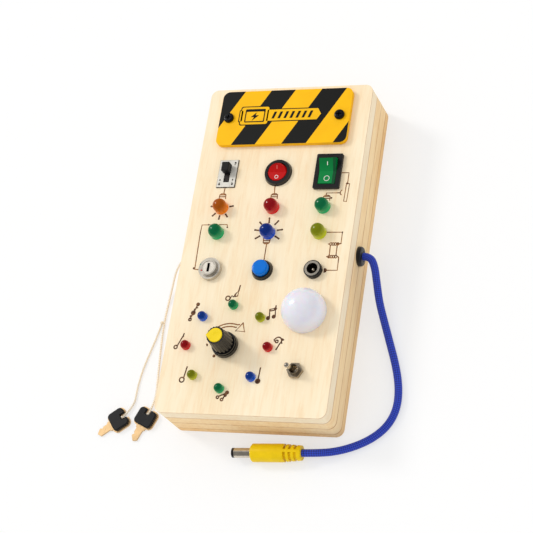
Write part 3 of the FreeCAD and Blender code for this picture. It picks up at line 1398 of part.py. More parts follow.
def build_keys():
    blanks = []
    heads = []
    for i, (x, y, turn) in enumerate(KEY_PLACES, start=1):
        blank = feature(f"key_blank_{i}", key_blank())
        blank.Placement = Placement(Vector(x, y, 0), Rotation(Vector(0, 0, 1), turn))
        blanks.append(blank)
        head = feature(f"key_head_{i}", key_head())
        head.Placement = Placement(Vector(x, y, SIZES["key_sheet"]), Rotation(Vector(0, 0, 1), turn))
        heads.append(head)
    keep(group("key_blank_group", blanks), "key_blades")
    keep(group("key_head_group", heads), "key_heads")


def build_all():
    build_front_board()
    build_frame_layer("front_frame_layer", LAYER_SEAM)
    build_frame_layer("rear_frame_layer", "back_thickness")
    build_back_panel()
    build_rear_screws()
    build_battery()
    build_hazard_plate()
    build_slide_switch()
    build_round_rocker()
    build_square_rocker()
    build_lamps()
    build_lock()
    build_push_button()
    build_jack()
    build_dome_lamp()
    build_toggle()
    build_rotary_switch()
    build_grommet()
    tube("cable", CABLE_POINTS, SIZES["cable_diameter"])
    build_plug()
    tube("key_string_long", LONG_STRING_POINTS, SIZES["string_diameter"])
    tube("key_string_short", SHORT_STRING_POINTS, SIZES["string_diameter"])
    build_keys()


def check_and_write():
    """Stop at anything that failed, then write one file for each sub-part."""
    doc.recompute()
    for obj in doc.Objects:
        if "Invalid" in obj.State or "Error" in obj.State:
            raise RuntimeError(f"{obj.Name} failed: {obj.State}")
    for obj in nodes:
        shape = obj.Shape
        if shape.isNull() or not shape.isValid() or not shape.Solids:
            raise RuntimeError(f"{obj.Label} has no valid solid")
    os.makedirs("parts", exist_ok=True)
    for obj in nodes:
        obj.Shape.exportStep(f"parts/{obj.Label}.step")
    print(len(nodes), "sub-parts written")


build_all()
check_and_write()
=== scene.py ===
import math

import bmesh
import bpy
from mathutils import Matrix, Vector


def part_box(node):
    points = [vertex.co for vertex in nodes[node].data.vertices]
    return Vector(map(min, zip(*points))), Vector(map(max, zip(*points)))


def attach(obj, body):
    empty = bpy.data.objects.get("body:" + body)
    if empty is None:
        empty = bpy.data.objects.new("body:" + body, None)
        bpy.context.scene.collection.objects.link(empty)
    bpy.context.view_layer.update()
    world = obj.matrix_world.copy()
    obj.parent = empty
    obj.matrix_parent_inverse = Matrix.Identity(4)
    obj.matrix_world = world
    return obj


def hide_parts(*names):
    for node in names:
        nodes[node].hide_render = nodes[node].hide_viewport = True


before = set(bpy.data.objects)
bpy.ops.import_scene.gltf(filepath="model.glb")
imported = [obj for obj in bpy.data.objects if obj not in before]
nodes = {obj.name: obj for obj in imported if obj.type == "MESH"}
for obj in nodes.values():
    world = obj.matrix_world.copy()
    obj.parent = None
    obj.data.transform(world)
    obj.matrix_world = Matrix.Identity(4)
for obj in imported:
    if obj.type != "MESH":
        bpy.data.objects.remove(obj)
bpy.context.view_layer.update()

# Looks of the wooden busy board. Lengths are in metres: X right, Y up the board, Z out of its face.

bpy.context.scene.view_settings.view_transform = "Standard"

MM = 0.001
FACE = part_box("front_board")[1].z


def centre_of(node):
    low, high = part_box(node)
    return (low + high)/2


# Camera

PHOTO_SIZE = 533
PHOTO_FOCUS = 1634.6        # focal length in pixels of the photograph
SENSOR = 36                 # mm
EYE = Vector((0.3396, -0.3464, 0.8044))
EYE_RIGHT = Vector((0.9283, 0.1511, -0.3397))
EYE_UP = Vector((-0.0038, 0.9176, 0.3976))


def make_camera():
    data = bpy.data.cameras.new("camera")
    data.sensor_width = SENSOR
    data.lens = PHOTO_FOCUS*SENSOR/PHOTO_SIZE
    data.clip_start = 0.05
    camera = bpy.data.objects.new("camera", data)
    bpy.context.scene.collection.objects.link(camera)
    back = EYE_RIGHT.cross(EYE_UP)
    turn = Matrix((EYE_RIGHT, EYE_UP, back)).transposed()
    camera.matrix_world = Matrix.Translation(EYE) @ turn.to_4x4()
    bpy.context.scene.camera = camera


# Materials


def srgb(red, green, blue):
    """A colour given as 0 to 255 on screen, as the shader wants it."""
    def linear(value):
        value = value/255
        return value/12.92 if value < 0.04045 else ((value + 0.055)/1.055)**2.4
    return (linear(red), linear(green), linear(blue), 1)


def times(colour, factor):
    """A colour made darker by a factor."""
    return tuple(part*factor for part in colour[:3])


class Graph:
    """A node tree, with short calls for the nodes in it."""

    def __init__(self, tree):
        self.tree = tree

    def node(self, kind, inputs=(), **settings):
        """A new node. An input is either a value or the socket that it is linked to."""
        made = self.tree.nodes.new(kind)
        for key, value in settings.items():
            setattr(made, key, value)
        for key, value in dict(inputs).items():
            if isinstance(value, bpy.types.NodeSocket):
                self.tree.links.new(value, made.inputs[key])
            else:
                made.inputs[key].default_value = value
        return made

    def math(self, operation, first, second=0.0, third=0.0):
        return self.node("ShaderNodeMath", {0: first, 1: second, 2: third}, operation=operation).outputs[0]

    def fit(self, value, low, high, new_low, new_high):
        """A value from one range brought to another."""
        made = self.node("ShaderNodeMapRange", {
            "Value": value, "From Min": low, "From Max": high, "To Min": new_low, "To Max": new_high})
        return made.outputs["Result"]

    def mix_shaders(self, share, first, second):
        return self.node("ShaderNodeMixShader", {0: share, 1: first, 2: second}).outputs[0]


class Finish(Graph):
    """A material with one Principled shader, whose sockets are given with _ in place of a space."""

    def __init__(self, name, **sockets):
        self.material = bpy.data.materials.new(name)
        self.material.use_nodes = True
        super().__init__(self.material.node_tree)
        self.shader = self.tree.nodes["Principled BSDF"]
        for socket, value in sockets.items():
            self.shader.inputs[socket.replace("_", " ")].default_value = value

    def place(self, scale=(1, 1, 1)):
        """Coordinates of the piece, stretched."""
        where = self.node("ShaderNodeTexCoord").outputs["Object"]
        return self.node("ShaderNodeMapping", {"Vector": where, "Scale": scale}).outputs[0]

    def noise(self, where, scale, detail=3.0, roughness=0.55, distortion=0.0):
        made = self.node("ShaderNodeTexNoise", {
            "Vector": where, "Scale": scale, "Detail": detail, "Roughness": roughness,
            "Distortion": distortion})
        return made.outputs["Fac"]

    def blend(self, share, first, second):
        """Two colours mixed. Sockets 6 and 7 are the node's two colours."""
        return self.node("ShaderNodeMix", {0: share, 6: first, 7: second}, data_type="RGBA").outputs[2]

    def ramp(self, share, stops):
        """Colours along a value from 0 to 1, as (position, colour)."""
        made = self.node("ShaderNodeValToRGB", {"Fac": share})
        ends = made.color_ramp.elements
        while len(ends) < len(stops):
            ends.new(0.5)
        for end, (position, colour) in zip(ends, stops):
            end.position = position
            end.color = colour if len(colour) == 4 else (*colour, 1)
        return made.outputs["Color"]

    def set(self, socket, value):
        self.tree.links.new(value, self.shader.inputs[socket])

    def bump(self, height, strength, distance):
        made = self.node("ShaderNodeBump", {
            "Height": height, "Strength": strength, "Distance": distance})
        self.set("Normal", made.outputs["Normal"])

    def axis(self, letter):
        """One object coordinate, in metres."""
        where = self.node("ShaderNodeTexCoord").outputs["Object"]
        return self.node("ShaderNodeSeparateXYZ", {0: where}).outputs["XYZ".index(letter)]


def wood(name, pale, mid, dark, seams_and_edge_shade, seam_and_shade_colour):
    """Sanded light wood, its grain along the board. Glue seams, and on the face the painted shade of its
    front edge, as (level, half width), are thin lines.
    """
    made = Finish(name, Specular_IOR_Level=0.25)
    streaks = made.noise(made.place((1, 0.1, 1)), 460, detail=6, roughness=0.62, distortion=0.5)
    broad = made.noise(made.place((1, 0.3, 1)), 34, detail=4, distortion=0.6)
    pores = made.noise(made.place((1, 0.06, 1)), 2200, detail=2)
    colour = made.ramp(streaks, [(0.3, dark), (0.5, mid), (0.72, pale)])
    warm = made.ramp(broad, [(0.35, dark), (0.65, pale)])
    colour = made.blend(0.35, colour, warm)
    level = made.axis("Z")
    share = None
    for line_level, width in seams_and_edge_shade:
        away = made.math("ABSOLUTE", made.math("SUBTRACT", level, line_level))
        line = made.fit(away, width*0.35, width, 1, 0)
        share = line if share is None else made.math("MAXIMUM", share, line)
    patchy = made.fit(made.noise(made.place((1, 0.3, 1)), 160), 0.3, 0.7, 0.35, 0.95)
    made.set("Base Color", made.blend(made.math("MULTIPLY", share, patchy), colour, seam_and_shade_colour))
    made.set("Roughness", made.fit(streaks, 0.3, 0.7, 0.52, 0.72))
    made.bump(made.math("ADD", made.math("MULTIPLY", pores, 0.5), streaks), 0.25, 0.06*MM)
    return made.material


def moulded(name, colour, rough, tint=0.12, shine=0.2, **sockets):
    """Moulded plastic: nearly even colour, a fine skin and slight cloudiness."""
    made = Finish(name, Specular_IOR_Level=shine, **sockets)
    cloud = made.noise(made.place(), 180)
    made.set("Base Color", made.ramp(cloud, [(0.3, times(colour, 1 - tint)), (0.7, colour)]))
    made.set("Roughness", made.fit(cloud, 0.3, 0.7, rough*0.85, rough*1.15))
    made.bump(made.noise(made.place(), 3200, detail=2), 0.3, 0.02*MM)
    return made.material


def metal(name, colour, rough, brushed=(1, 1, 1), tint=0.15, bare=1.0):
    """Plated or bare metal, with fine scratches that brushed draws out. A low bare gives a dull plating."""
    made = Finish(name, Metallic=bare, Specular_IOR_Level=0.3)
    fine = made.noise(made.place(brushed), 900, detail=4, roughness=0.65)
    cloud = made.noise(made.place(), 240)
    made.set("Base Color", made.ramp(cloud, [(0.3, times(colour, 1 - tint)), (0.7, colour)]))
    made.set("Roughness", made.fit(fine, 0.3, 0.7, rough*0.7, rough*1.4))
    made.bump(fine, 0.35, 0.01*MM)
    return made.material


def keyed_metal(name, colour, dark):
    """Pale plated metal with painted shade: dark down in its keyway."""
    made = Finish(name, Metallic=0.4, Specular_IOR_Level=0.3)
    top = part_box("lock_plug")[1].z
    # Painted shade: the dark colour fills the keyway below the plug's top.
    keyway_shade = made.fit(made.axis("Z"), top - 0.7*MM, top - 0.1*MM, 1, 0)
    scratches = made.noise(made.place((1, 0.2, 1)), 1200, detail=4, roughness=0.65)
    worn = made.ramp(scratches, [(0.3, times(colour, 0.8)), (0.65, colour)])
    made.set("Base Color", made.blend(keyway_shade, worn, dark))
    made.set("Roughness", made.fit(scratches, 0.3, 0.7, 0.18, 0.34))
    made.bump(scratches, 0.35, 0.01*MM)
    return made.material


def clear_plastic(name, colour, glow, top, rough=0.07, painted_glow_level=0.3):
    """Tinted clear plastic with painted light: a painted glow low down, near the face, stands in for light
    that passes it and gathers there, and painted shade makes it darker towards its top.
    """
    made = Finish(name, IOR=1.49, Specular_IOR_Level=0.3, Emission_Strength=painted_glow_level)
    cloud = made.noise(made.place(), 300, detail=2)
    height = made.fit(made.axis("Z"), FACE + 0.5*MM, top, 0, 1)
    # Painted shade: the colour darkens towards the top. Painted glow: the emission fades from the face
    # upwards.
    made.set("Base Color", made.ramp(height, [(0.1, colour), (0.85, times(colour, 0.55))]))
    made.set("Emission Color", made.ramp(height, [
        (0.0, glow), (0.45, times(glow, 0.4)), (0.9, (0, 0, 0))]))
    made.set("Roughness", made.fit(cloud, 0.3, 0.7, rough, rough*1.8))
    made.bump(made.noise(made.place(), 1500, detail=1), 0.1, 0.01*MM)
    return made.material


STRIPE_SLANT = 0.571            # how far a stripe leans across for each step up
STRIPE_PERIOD = 31.2*MM
STRIPE_BLACK = 15.0*MM
STRIPE_START = 11.1*MM          # from the middle of the plate


def stripes(name, yellow, black):
    """Slanted warning stripes on the plate's top, yellow on its sides."""
    made = Finish(name, Specular_IOR_Level=0.15)
    centre = centre_of("hazard_plate")
    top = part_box("hazard_plate")[1].z
    across = made.math("SUBTRACT", made.axis("X"), centre.x + STRIPE_START)
    up = made.math("MULTIPLY", made.math("SUBTRACT", made.axis("Y"), centre.y), STRIPE_SLANT)
    along = made.math("SUBTRACT", across, up)
    share = made.math("WRAP", made.math("DIVIDE", along, STRIPE_PERIOD), 1.0, 0.0)
    band = made.math("LESS_THAN", share, STRIPE_BLACK/STRIPE_PERIOD)
    level = made.math("GREATER_THAN", made.axis("Z"), top - 0.05*MM)
    ink = made.math("MULTIPLY", band, level)
    cloud = made.noise(made.place(), 120, detail=4)
    paint = made.ramp(cloud, [(0.3, times(yellow, 0.93)), (0.7, yellow)])
    made.set("Base Color", made.blend(ink, paint, black))
    made.set("Roughness", made.fit(made.noise(made.place(), 700), 0.3, 0.7, 0.36, 0.5))
    made.bump(made.noise(made.place(), 2600, detail=2), 0.2, 0.015*MM)
    return made.material


def braid(name, colour, dark, turns, rows):
    """A woven sleeve round a cord: threads slanted both ways, by the cord's own UV map."""
    made = Finish(name, Roughness=0.72, Sheen_Weight=0.25, Sheen_Roughness=0.4)
    where = made.node("ShaderNodeTexCoord").outputs["UV"]
    parts = made.node("ShaderNodeSeparateXYZ", {0: where})
    length = made.math("MULTIPLY", parts.outputs[0], rows)
    round_it = made.math("MULTIPLY", parts.outputs[1], turns)
    threads = [made.math("SINE", made.math("MULTIPLY", made.math(slant, length, round_it), 2*math.pi))
               for slant in ("ADD", "SUBTRACT")]
    share = made.fit(made.math("MULTIPLY", *threads), -1, 1, 0, 1)
    fuzz = made.noise(made.place(), 5200)
    fibres = made.math("ADD", made.math("MULTIPLY", share, 0.7), made.math("MULTIPLY", fuzz, 0.3))
    made.set("Base Color", made.ramp(fibres, [(0.25, dark), (0.7, colour)]))
    made.bump(made.math("ADD", share, made.math("MULTIPLY", fuzz, 0.4)), 0.6, 0.12*MM)
    return made.material


def circuit(name):
    """A green circuit board with its tracks."""
    made = Finish(name, Roughness=0.4)
    lines = made.node("ShaderNodeTexBrick", {
        "Vector": made.place(), "Scale": 160, "Color1": srgb(20, 96, 52),
        "Color2": srgb(16, 84, 46), "Mortar": srgb(34, 120, 66)})
    made.set("Base Color", lines.outputs["Color"])
    made.bump(lines.outputs["Fac"], 0.2, 0.02*MM)
    return made.material


def burnt(name, deep, mid, pale):
    """Laser-burnt wood: brown with darker scorch spots."""
    made = Finish(name, Roughness=0.8)
    spots = made.noise(made.place(), 520, detail=4)
    made.set("Base Color", made.ramp(spots, [(0.3, deep), (0.5, mid), (0.72, pale)]))
    made.bump(made.noise(made.place(), 3000, detail=2), 0.4, 0.03*MM)
    return made.material


GLUED_LAYERS = ("front_board", "front_frame_layer", "rear_frame_layer")
SEAM_WIDTH = 0.55*MM
SEAMS = [(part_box(node)[0].z, SEAM_WIDTH) for node in GLUED_LAYERS]
FRONT_EDGE_SHADE = (FACE - 0.45*MM, 0.4*MM)        # painted shade of the front edge: a line round the front board, just under its face
SEAM_AND_SHADE_COLOUR = srgb(190, 130, 74)
ROCKER_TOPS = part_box("square_rocker_button")[1].z + 4*MM      # over the rockers, so that they get little of the painted shade towards the top
LAMP_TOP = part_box("amber_lamp")[1].z
BEAD_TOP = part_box("ring_lamps_red")[1].z


def make_finishes():
    return {
        "face_wood": wood("wood_face", srgb(252, 238, 210), srgb(249, 232, 199), srgb(243, 216, 175),
                          SEAMS + [FRONT_EDGE_SHADE], SEAM_AND_SHADE_COLOUR),
        "side_wood": wood("wood_sides", srgb(254, 230, 186), srgb(248, 216, 164),
                          srgb(236, 192, 130), SEAMS, SEAM_AND_SHADE_COLOUR),
        "back_wood": wood("wood_back", srgb(252, 222, 172), srgb(244, 204, 146),
                          srgb(228, 180, 116), SEAMS, SEAM_AND_SHADE_COLOUR),
        "burnt": burnt("burnt_sign", srgb(60, 32, 16), srgb(94, 56, 28), srgb(140, 92, 52)),
        "scorched": burnt("burnt_line", srgb(86, 46, 20), srgb(142, 88, 42), srgb(186, 128, 72)),
        "stripes": stripes("plate_stripes", srgb(253, 190, 2), srgb(20, 20, 18)),
        "label_yellow": moulded("label_yellow", srgb(253, 192, 2), 0.42, shine=0.15),
        "label_black": moulded("label_black", srgb(18, 18, 16), 0.42, shine=0.15),
        "black_screw": metal("screw_black", srgb(52, 52, 54), 0.2),
        "zinc": metal("zinc_steel", srgb(204, 204, 200), 0.3),
        "pale_plate": metal("pale_plate", srgb(226, 222, 212), 0.35, (1, 0.1, 1), bare=0.3),
        "nickel": metal("nickel_plate", srgb(222, 212, 196), 0.17, tint=0.3),
        "dark_nickel": metal("nickel_toggle", srgb(206, 190, 166), 0.12, tint=0.45, bare=0.95),
        "lock_nickel": metal("lock_nickel", srgb(220, 212, 198), 0.2, tint=0.3, bare=0.75),
        # its second colour is the painted shade down in the keyway
        "lock_face": keyed_metal("lock_face", srgb(232, 224, 210), srgb(30, 26, 22)),
        "black_plastic": moulded("plastic_black", srgb(24, 24, 26), 0.38, tint=0.3),
        "gloss_black": moulded("plastic_gloss_black", srgb(14, 14, 16), 0.13, tint=0.3, shine=0.5),
        # In each clear plastic, the second colour is its painted glow, and the top sets where its painted
        # shade ends.
        "red_clear": clear_plastic("rocker_red", srgb(186, 8, 8), srgb(230, 20, 10), ROCKER_TOPS,
                                   0.12, 0.05),
        "green_clear": clear_plastic("rocker_green", srgb(0, 124, 60), srgb(0, 160, 70), ROCKER_TOPS,
                                     0.12, 0.05),
        # painted shade along the green rocker's right edge, for its shaded side
        "green_side_shade": moulded("rocker_side_shade", srgb(0, 78, 40), 0.2, shine=0.4),
        "faint_mark": moulded("faint_mark", srgb(222, 120, 112), 0.4),
        "mark": moulded("switch_mark", srgb(246, 240, 236), 0.4),
        "amber": clear_plastic("lamp_amber", srgb(206, 100, 0), srgb(250, 140, 0), LAMP_TOP),
        "red": clear_plastic("lamp_red", srgb(176, 6, 20), srgb(225, 10, 20), LAMP_TOP),
        "green": clear_plastic("lamp_green", srgb(0, 128, 76), srgb(0, 190, 110), LAMP_TOP),
        "blue": clear_plastic("lamp_blue", srgb(10, 52, 150), srgb(20, 90, 220), LAMP_TOP),
        "lime": clear_plastic("lamp_lime", srgb(150, 158, 6), srgb(205, 210, 20), LAMP_TOP),
        "bead_red": clear_plastic("bead_red", srgb(170, 6, 16), srgb(225, 10, 20), BEAD_TOP),
        "bead_green": clear_plastic("bead_green", srgb(0, 122, 72), srgb(0, 190, 110), BEAD_TOP),
        "bead_blue": clear_plastic("bead_blue", srgb(6, 62, 160), srgb(10, 110, 235), BEAD_TOP),
        "bead_lime": clear_plastic("bead_lime", srgb(140, 146, 4), srgb(205, 205, 20), BEAD_TOP),
        "blue_plastic": moulded("plastic_blue", srgb(0, 112, 212), 0.24, shine=0.2),
        "yellow_plastic": moulded("plastic_yellow", srgb(246, 214, 4), 0.3, shine=0.3),
        "plug_yellow": moulded("plug_yellow", srgb(244, 206, 0), 0.36),
        "white_plastic": moulded("plastic_white", srgb(236, 230, 239), 0.12, tint=0.03, shine=0.6,
                                 Subsurface_Weight=0.3, Subsurface_Scale=0.004),
        "circuit": circuit("circuit_board"),
        "cell": metal("cell_jacket", srgb(120, 124, 130), 0.35),
        "brass": metal("key_brass", srgb(226, 190, 140), 0.32, (1, 0.2, 1), bare=0.6),
        "rubber": moulded("rubber_black", srgb(22, 22, 24), 0.4, tint=0.3, shine=0.4),
        "cable": braid("cable_braid", srgb(34, 70, 206), srgb(10, 24, 118), 6, 70),
        "string": braid("string_twist", srgb(252, 247, 236), srgb(222, 208, 182), 2, 60),
        # painted shade, for the slide plate's dimples and round its edge
        "painted_shade": moulded("painted_shade", srgb(46, 40, 36), 0.5),
        "green_paint": moulded("green_paint", srgb(30, 130, 100), 0.45),
        "red_paint": moulded("red_paint", srgb(190, 40, 30), 0.45),
    }


NODE_FINISH = {
    "front_board": "face_wood", "front_frame_layer": "side_wood", "rear_frame_layer": "side_wood",
    "back_panel": "back_wood", "rear_screws": "zinc", "battery_box": "black_plastic",
    "battery_cells": "cell", "battery_contacts": "nickel", "battery_door": "black_plastic",
    "hazard_plate": "stripes", "hazard_plate_screws": "black_screw",
    "slide_switch_frame": "pale_plate", "slide_switch_body": "black_plastic",
    "slide_switch_handle": "black_plastic", "round_rocker_housing": "gloss_black",
    "round_rocker_button": "red_clear", "square_rocker_housing": "black_plastic",
    "square_rocker_button": "green_clear", "amber_lamp": "amber", "red_lamp": "red",
    "upper_green_lamp": "green", "lower_green_lamp": "green", "blue_lamp": "blue",
    "lime_lamp": "lime", "ring_lamps_green": "bead_green", "ring_lamps_lime": "bead_lime",
    "ring_lamps_red": "bead_red", "ring_lamps_blue": "bead_blue", "light_boards": "circuit",
    "lock_body": "lock_nickel", "lock_plug": "lock_face", "lock_cam": "zinc", "lock_nut": "zinc",
    "push_button_body": "gloss_black", "push_button_cap": "blue_plastic",
    "push_button_spring": "zinc", "push_button_nut": "zinc", "jack_housing": "black_plastic",
    "jack_contacts": "nickel", "jack_nut": "zinc", "dome_lamp_cover": "white_plastic",
    "dome_lamp_base": "black_plastic", "dome_lamp_bulb": "white_plastic", "toggle_body": "dark_nickel",
    "toggle_nut": "dark_nickel", "toggle_lever": "nickel", "rotary_switch_body": "black_plastic",
    "rotary_switch_nut": "zinc", "rotary_switch_shaft": "nickel", "knob_body": "gloss_black",
    "knob_cap": "yellow_plastic", "cable_grommet": "rubber", "plug_body": "plug_yellow",
    "plug_barrel": "nickel", "plug_tip_ring": "gloss_black", "key_blades": "brass",
    "key_heads": "black_plastic",
}


# Making and placing pieces


def keep(obj, body, finish):
    """A finished piece gets its material and rides on a body."""
    obj.data.materials.clear()
    obj.data.materials.append(finishes[finish])
    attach(obj, body)
    return obj


def piece(name, data):
    obj = bpy.data.objects.new(name, data)
    bpy.context.scene.collection.objects.link(obj)
    return obj


SMOOTH_BELOW = math.radians(30)


def from_bmesh(name, bm):
    bmesh.ops.recalc_face_normals(bm, faces=bm.faces)
    mesh = bpy.data.meshes.new(name)
    bm.to_mesh(mesh)
    bm.free()
    mesh.shade_smooth()
    mesh.set_sharp_from_angle(angle=SMOOTH_BELOW)
    return piece(name, mesh)


def spun(name, profile):
    """A round piece: a profile of (radius, height) turned about Z."""
    bm = bmesh.new()
    corners = [bm.verts.new((radius, 0, height)) for radius, height in profile]
    edges = [bm.edges.new(pair) for pair in zip(corners, corners[1:])]
    bmesh.ops.spin(bm, geom=corners + edges, cent=(0, 0, 0), axis=(0, 0, 1), angle=2*math.pi,
                   steps=64, use_merge=True)
    bmesh.ops.remove_doubles(bm, verts=bm.verts, dist=1e-6)
    return from_bmesh(name, bm)


def raise_copy(bm, faces, height):
    """Gives flat faces a height."""
    grown = bmesh.ops.extrude_face_region(bm, geom=faces)
    top = [item for item in grown["geom"] if isinstance(item, bmesh.types.BMVert)]
    bmesh.ops.translate(bm, verts=top, vec=(0, 0, height))


def flat_shape(bm, outline, low, high):
    """A flat plate of an outline in mm, from one level to another."""
    face = bm.faces.new([bm.verts.new((x*MM, y*MM, low)) for x, y in outline])
    raise_copy(bm, [face], high - low)


def box(left, low, right, high):
    """The outline of a rectangle."""
    return [(left, low), (right, low), (right, high), (left, high)]


def arc(centre, radius, start, end, count=12):
    """Points of an arc, in mm, between two angles in degrees."""
    points = []
    for i in range(count + 1):
        angle = math.radians(start + (end - start)*i/count)
        points.append((centre[0] + radius*math.cos(angle), centre[1] + radius*math.sin(angle)))
    return points


def circle(x, y, radius, count=12):
    """A closed stroke: its last point is its first."""
    return arc((x, y), radius, 0, 360, count)


# Lead, strings and what is on them. Each cord repeats its route in part.py.

CABLE_POINTS = [
    (0.0525, 0.0, 0.016), (0.0566, 0.0, 0.016), (0.0596, -0.0054, 0.015), (0.061, -0.014, 0.0118),
    (0.0626, -0.024, 0.0078), (0.0659, -0.0345, 0.004), (0.07, -0.046, 0.00215),
    (0.0752, -0.0595, 0.00215), (0.0784, -0.072, 0.00215), (0.0786, -0.0835, 0.00215),
    (0.0748, -0.093, 0.00215), (0.0674, -0.1002, 0.00215), (0.0575, -0.1055, 0.00215),
    (0.047, -0.1092, 0.0033), (0.0375, -0.11085, 0.0051), (0.0295, -0.1112, 0.0051),
]
LONG_STRING_POINTS = [
    (-0.045, 0.0, 0.016), (-0.053, 0.0, 0.016), (-0.0595, -0.002, 0.0132),
    (-0.0644, -0.0068, 0.0076), (-0.0674, -0.0135, 0.0022), (-0.0688, -0.0225, 0.0006),
    (-0.0694, -0.035, 0.0006), (-0.0687, -0.048, 0.0006), (-0.0676, -0.061, 0.0006),
    (-0.0663, -0.074, 0.0006), (-0.0656, -0.084, 0.0009), (-0.06834, -0.092, 0.0013),
]
SHORT_STRING_POINTS = [
    (-0.0707, -0.036, 0.0006), (-0.072, -0.0435, 0.0006), (-0.075, -0.055, 0.0006),
    (-0.0776, -0.0665, 0.0006), (-0.0786, -0.0775, 0.0006), (-0.0782, -0.0872, 0.0009),
    (-0.08431, -0.09451, 0.0013),
]
CABLE_WIDTH = 4.3*MM
STRING_WIDTH = 1.2*MM


def cord_curve(name, points, width):
    """A smooth cord whose control points are the route's points."""
    data = bpy.data.curves.new(name, "CURVE")
    data.dimensions = "3D"
    spline = data.splines.new("NURBS")
    spline.points.add(len(points) - 1)
    for point, place in zip(spline.points, points):
        point.co = (*place, 1)
    spline.order_u = 3
    spline.use_endpoint_u = True
    spline.resolution_u = 12
    data.bevel_depth = width/2
    data.bevel_resolution = 5
    data.use_fill_caps = True
    return piece(name, data)


def make_cords():
    lead = cord_curve("blue_lead", CABLE_POINTS, CABLE_WIDTH)
    keep(lead, "root", "cable")
    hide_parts("cable")
    long_string = cord_curve("long_key_string", LONG_STRING_POINTS, STRING_WIDTH)
    keep(long_string, "root", "string")
    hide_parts("key_string_long")
    short_string = cord_curve("short_key_string", SHORT_STRING_POINTS, STRING_WIDTH)
    keep(short_string, "root", "string")
    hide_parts("key_string_short")


GROMMET_NECK = 3.9*MM
GROMMET_DEPTH = 8*MM


def make_grommet():
    """Rubber grommet round the lead, its neck in the wall and its rounded rim outside."""
    low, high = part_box("cable_grommet")
    rim = (high.y - low.y)/2
    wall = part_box("front_frame_layer")[1].x
    proud = high.x - wall
    hole = CABLE_WIDTH/2
    profile = [(0, -GROMMET_DEPTH), (GROMMET_NECK, -GROMMET_DEPTH), (GROMMET_NECK, 0), (rim, 0),
               (rim, proud*0.35)]
    profile += [(rim - proud*0.35*(1 - math.cos(a)), proud*(0.35 + 0.6*math.sin(a)))
                for a in (0.4, 0.8, 1.2, 1.5)]
    profile += [(hole + 1.3*MM, proud), (hole + 0.6*MM, proud*0.86), (hole, proud*0.8),
                (0, proud*0.8)]
    made = spun("rubber_grommet", profile)
    turn = Matrix.Rotation(math.pi/2, 4, "Y")
    made.data.transform(Matrix.Translation((wall, 0, (low.z + high.z)/2)) @ turn)
    keep(made, "root", "rubber")
    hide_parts("cable_grommet")
    return made


# Laser lines on the face. All points are in mm from the middle of the face.

STROKE_FLAT = 0.12              # height of a stroke for its width
DOT_FLAT = 0.1
SIGN_HEIGHT = 0.03*MM
CIRCUIT_STROKE, NOTE_STROKE, ARROW_STROKE, RAY_STROKE = 0.65, 0.8, 0.75, 0.95
RAY_DOT = 0.6


def burn_lines(name, lines, width, finish="burnt"):
    """Burnt strokes: flattened tubes that lie on the face."""
    data = bpy.data.curves.new(name, "CURVE")
    data.dimensions = "3D"
    for line in lines:
        spline = data.splines.new("POLY")
        spline.points.add(len(line) - 1)
        for point, (x, y) in zip(spline.points, line):
            point.co = (x*MM, y*MM, 0, 1)
    data.bevel_depth = width*MM/2
    data.bevel_resolution = 1
    data.use_fill_caps = True
    curve = piece(f"{name}_curve", data)
    mesh = bpy.data.meshes.new_from_object(curve)
    bpy.data.objects.remove(curve)
    mesh.name = name
    mesh.transform(Matrix.Diagonal((1, 1, STROKE_FLAT, 1)))
    mesh.transform(Matrix.Translation((0, 0, FACE)))
    return keep(piece(name, mesh), "root", finish)


def burn_dots(name, dots):
    """Scorched spots where a stroke starts or ends, as (x, y, radius)."""
    bm = bmesh.new()
    for x, y, radius in dots:
        made = bmesh.ops.create_uvsphere(bm, u_segments=14, v_segments=6, radius=radius*MM)
        bmesh.ops.scale(bm, verts=made["verts"], vec=(1, 1, DOT_FLAT))
        bmesh.ops.translate(bm, verts=made["verts"], vec=(x*MM, y*MM, FACE))
    return keep(from_bmesh(name, bm), "root", "burnt")


def rays(centre, inner, outer, angles):
    """Short strokes that point away from a lamp."""
    lines = []
    for angle in angles:
        way = (math.cos(math.radians(angle)), math.sin(math.radians(angle)))
        lines.append([(centre[0] + way[0]*inner, centre[1] + way[1]*inner),
                      (centre[0] + way[0]*outer, centre[1] + way[1]*outer)])
    return lines


def bulb_neck(x, y, way):
    """The screw neck of a bulb sign: way is 1 above its lamp and -1 below."""
    return [
        [(x - 2.0, y - way*2.6), (x - 1.9, y), (x - 1.0, y + way*0.7), (x + 1.0, y + way*0.7),
         (x + 1.9, y), (x + 2.0, y - way*2.6)],
        [(x - 1.9, y), (x + 1.9, y)],
        [(x - 1.9, y - way*1.2), (x + 1.9, y - way*1.2)],
    ]


def lamp_strokes():
    """Necks above or below the lamps, and the lines from them to their switches."""
    amber = bulb_neck(-31.4, 31.4, 1) + [[(-31.0, 32.2), (-30.8, 36.1)]]
    red = bulb_neck(0.4, 31.0, 1) + [[(0.2, 31.7), (-0.2, 36.9)]]
    knife_switch = [
        arc((41.4, 31.9), 1.8, 120, 240, 8),
        [(42.5, 37.6), (44.3, 37.2), (44.0, 26.3), (42.3, 26.5), (42.5, 37.6)],
        [(43.1, 37.4), (43.0, 44.1), (38.8, 44.2)],
    ]
    upper_green = bulb_neck(32.0, 29.6, 1) + [[(31.6, 30.3), (31.4, 31.7), (39.6, 31.7)]]
    lower_green = [
        [(-25.1, 10.9), (-25.5, 12.7), (-41.0, 12.5), (-41.2, 8.0), (-40.6, -14.6)],
        [(-41.6, -13.8), (-40.6, -15.0), (-38.4, -15.2)],
    ]
    blue = bulb_neck(0.2, 1.4, -1) + [[(0.5, 0.6), (0.6, -9.0)]]
    return amber + red + upper_green + knife_switch + lower_green + blue


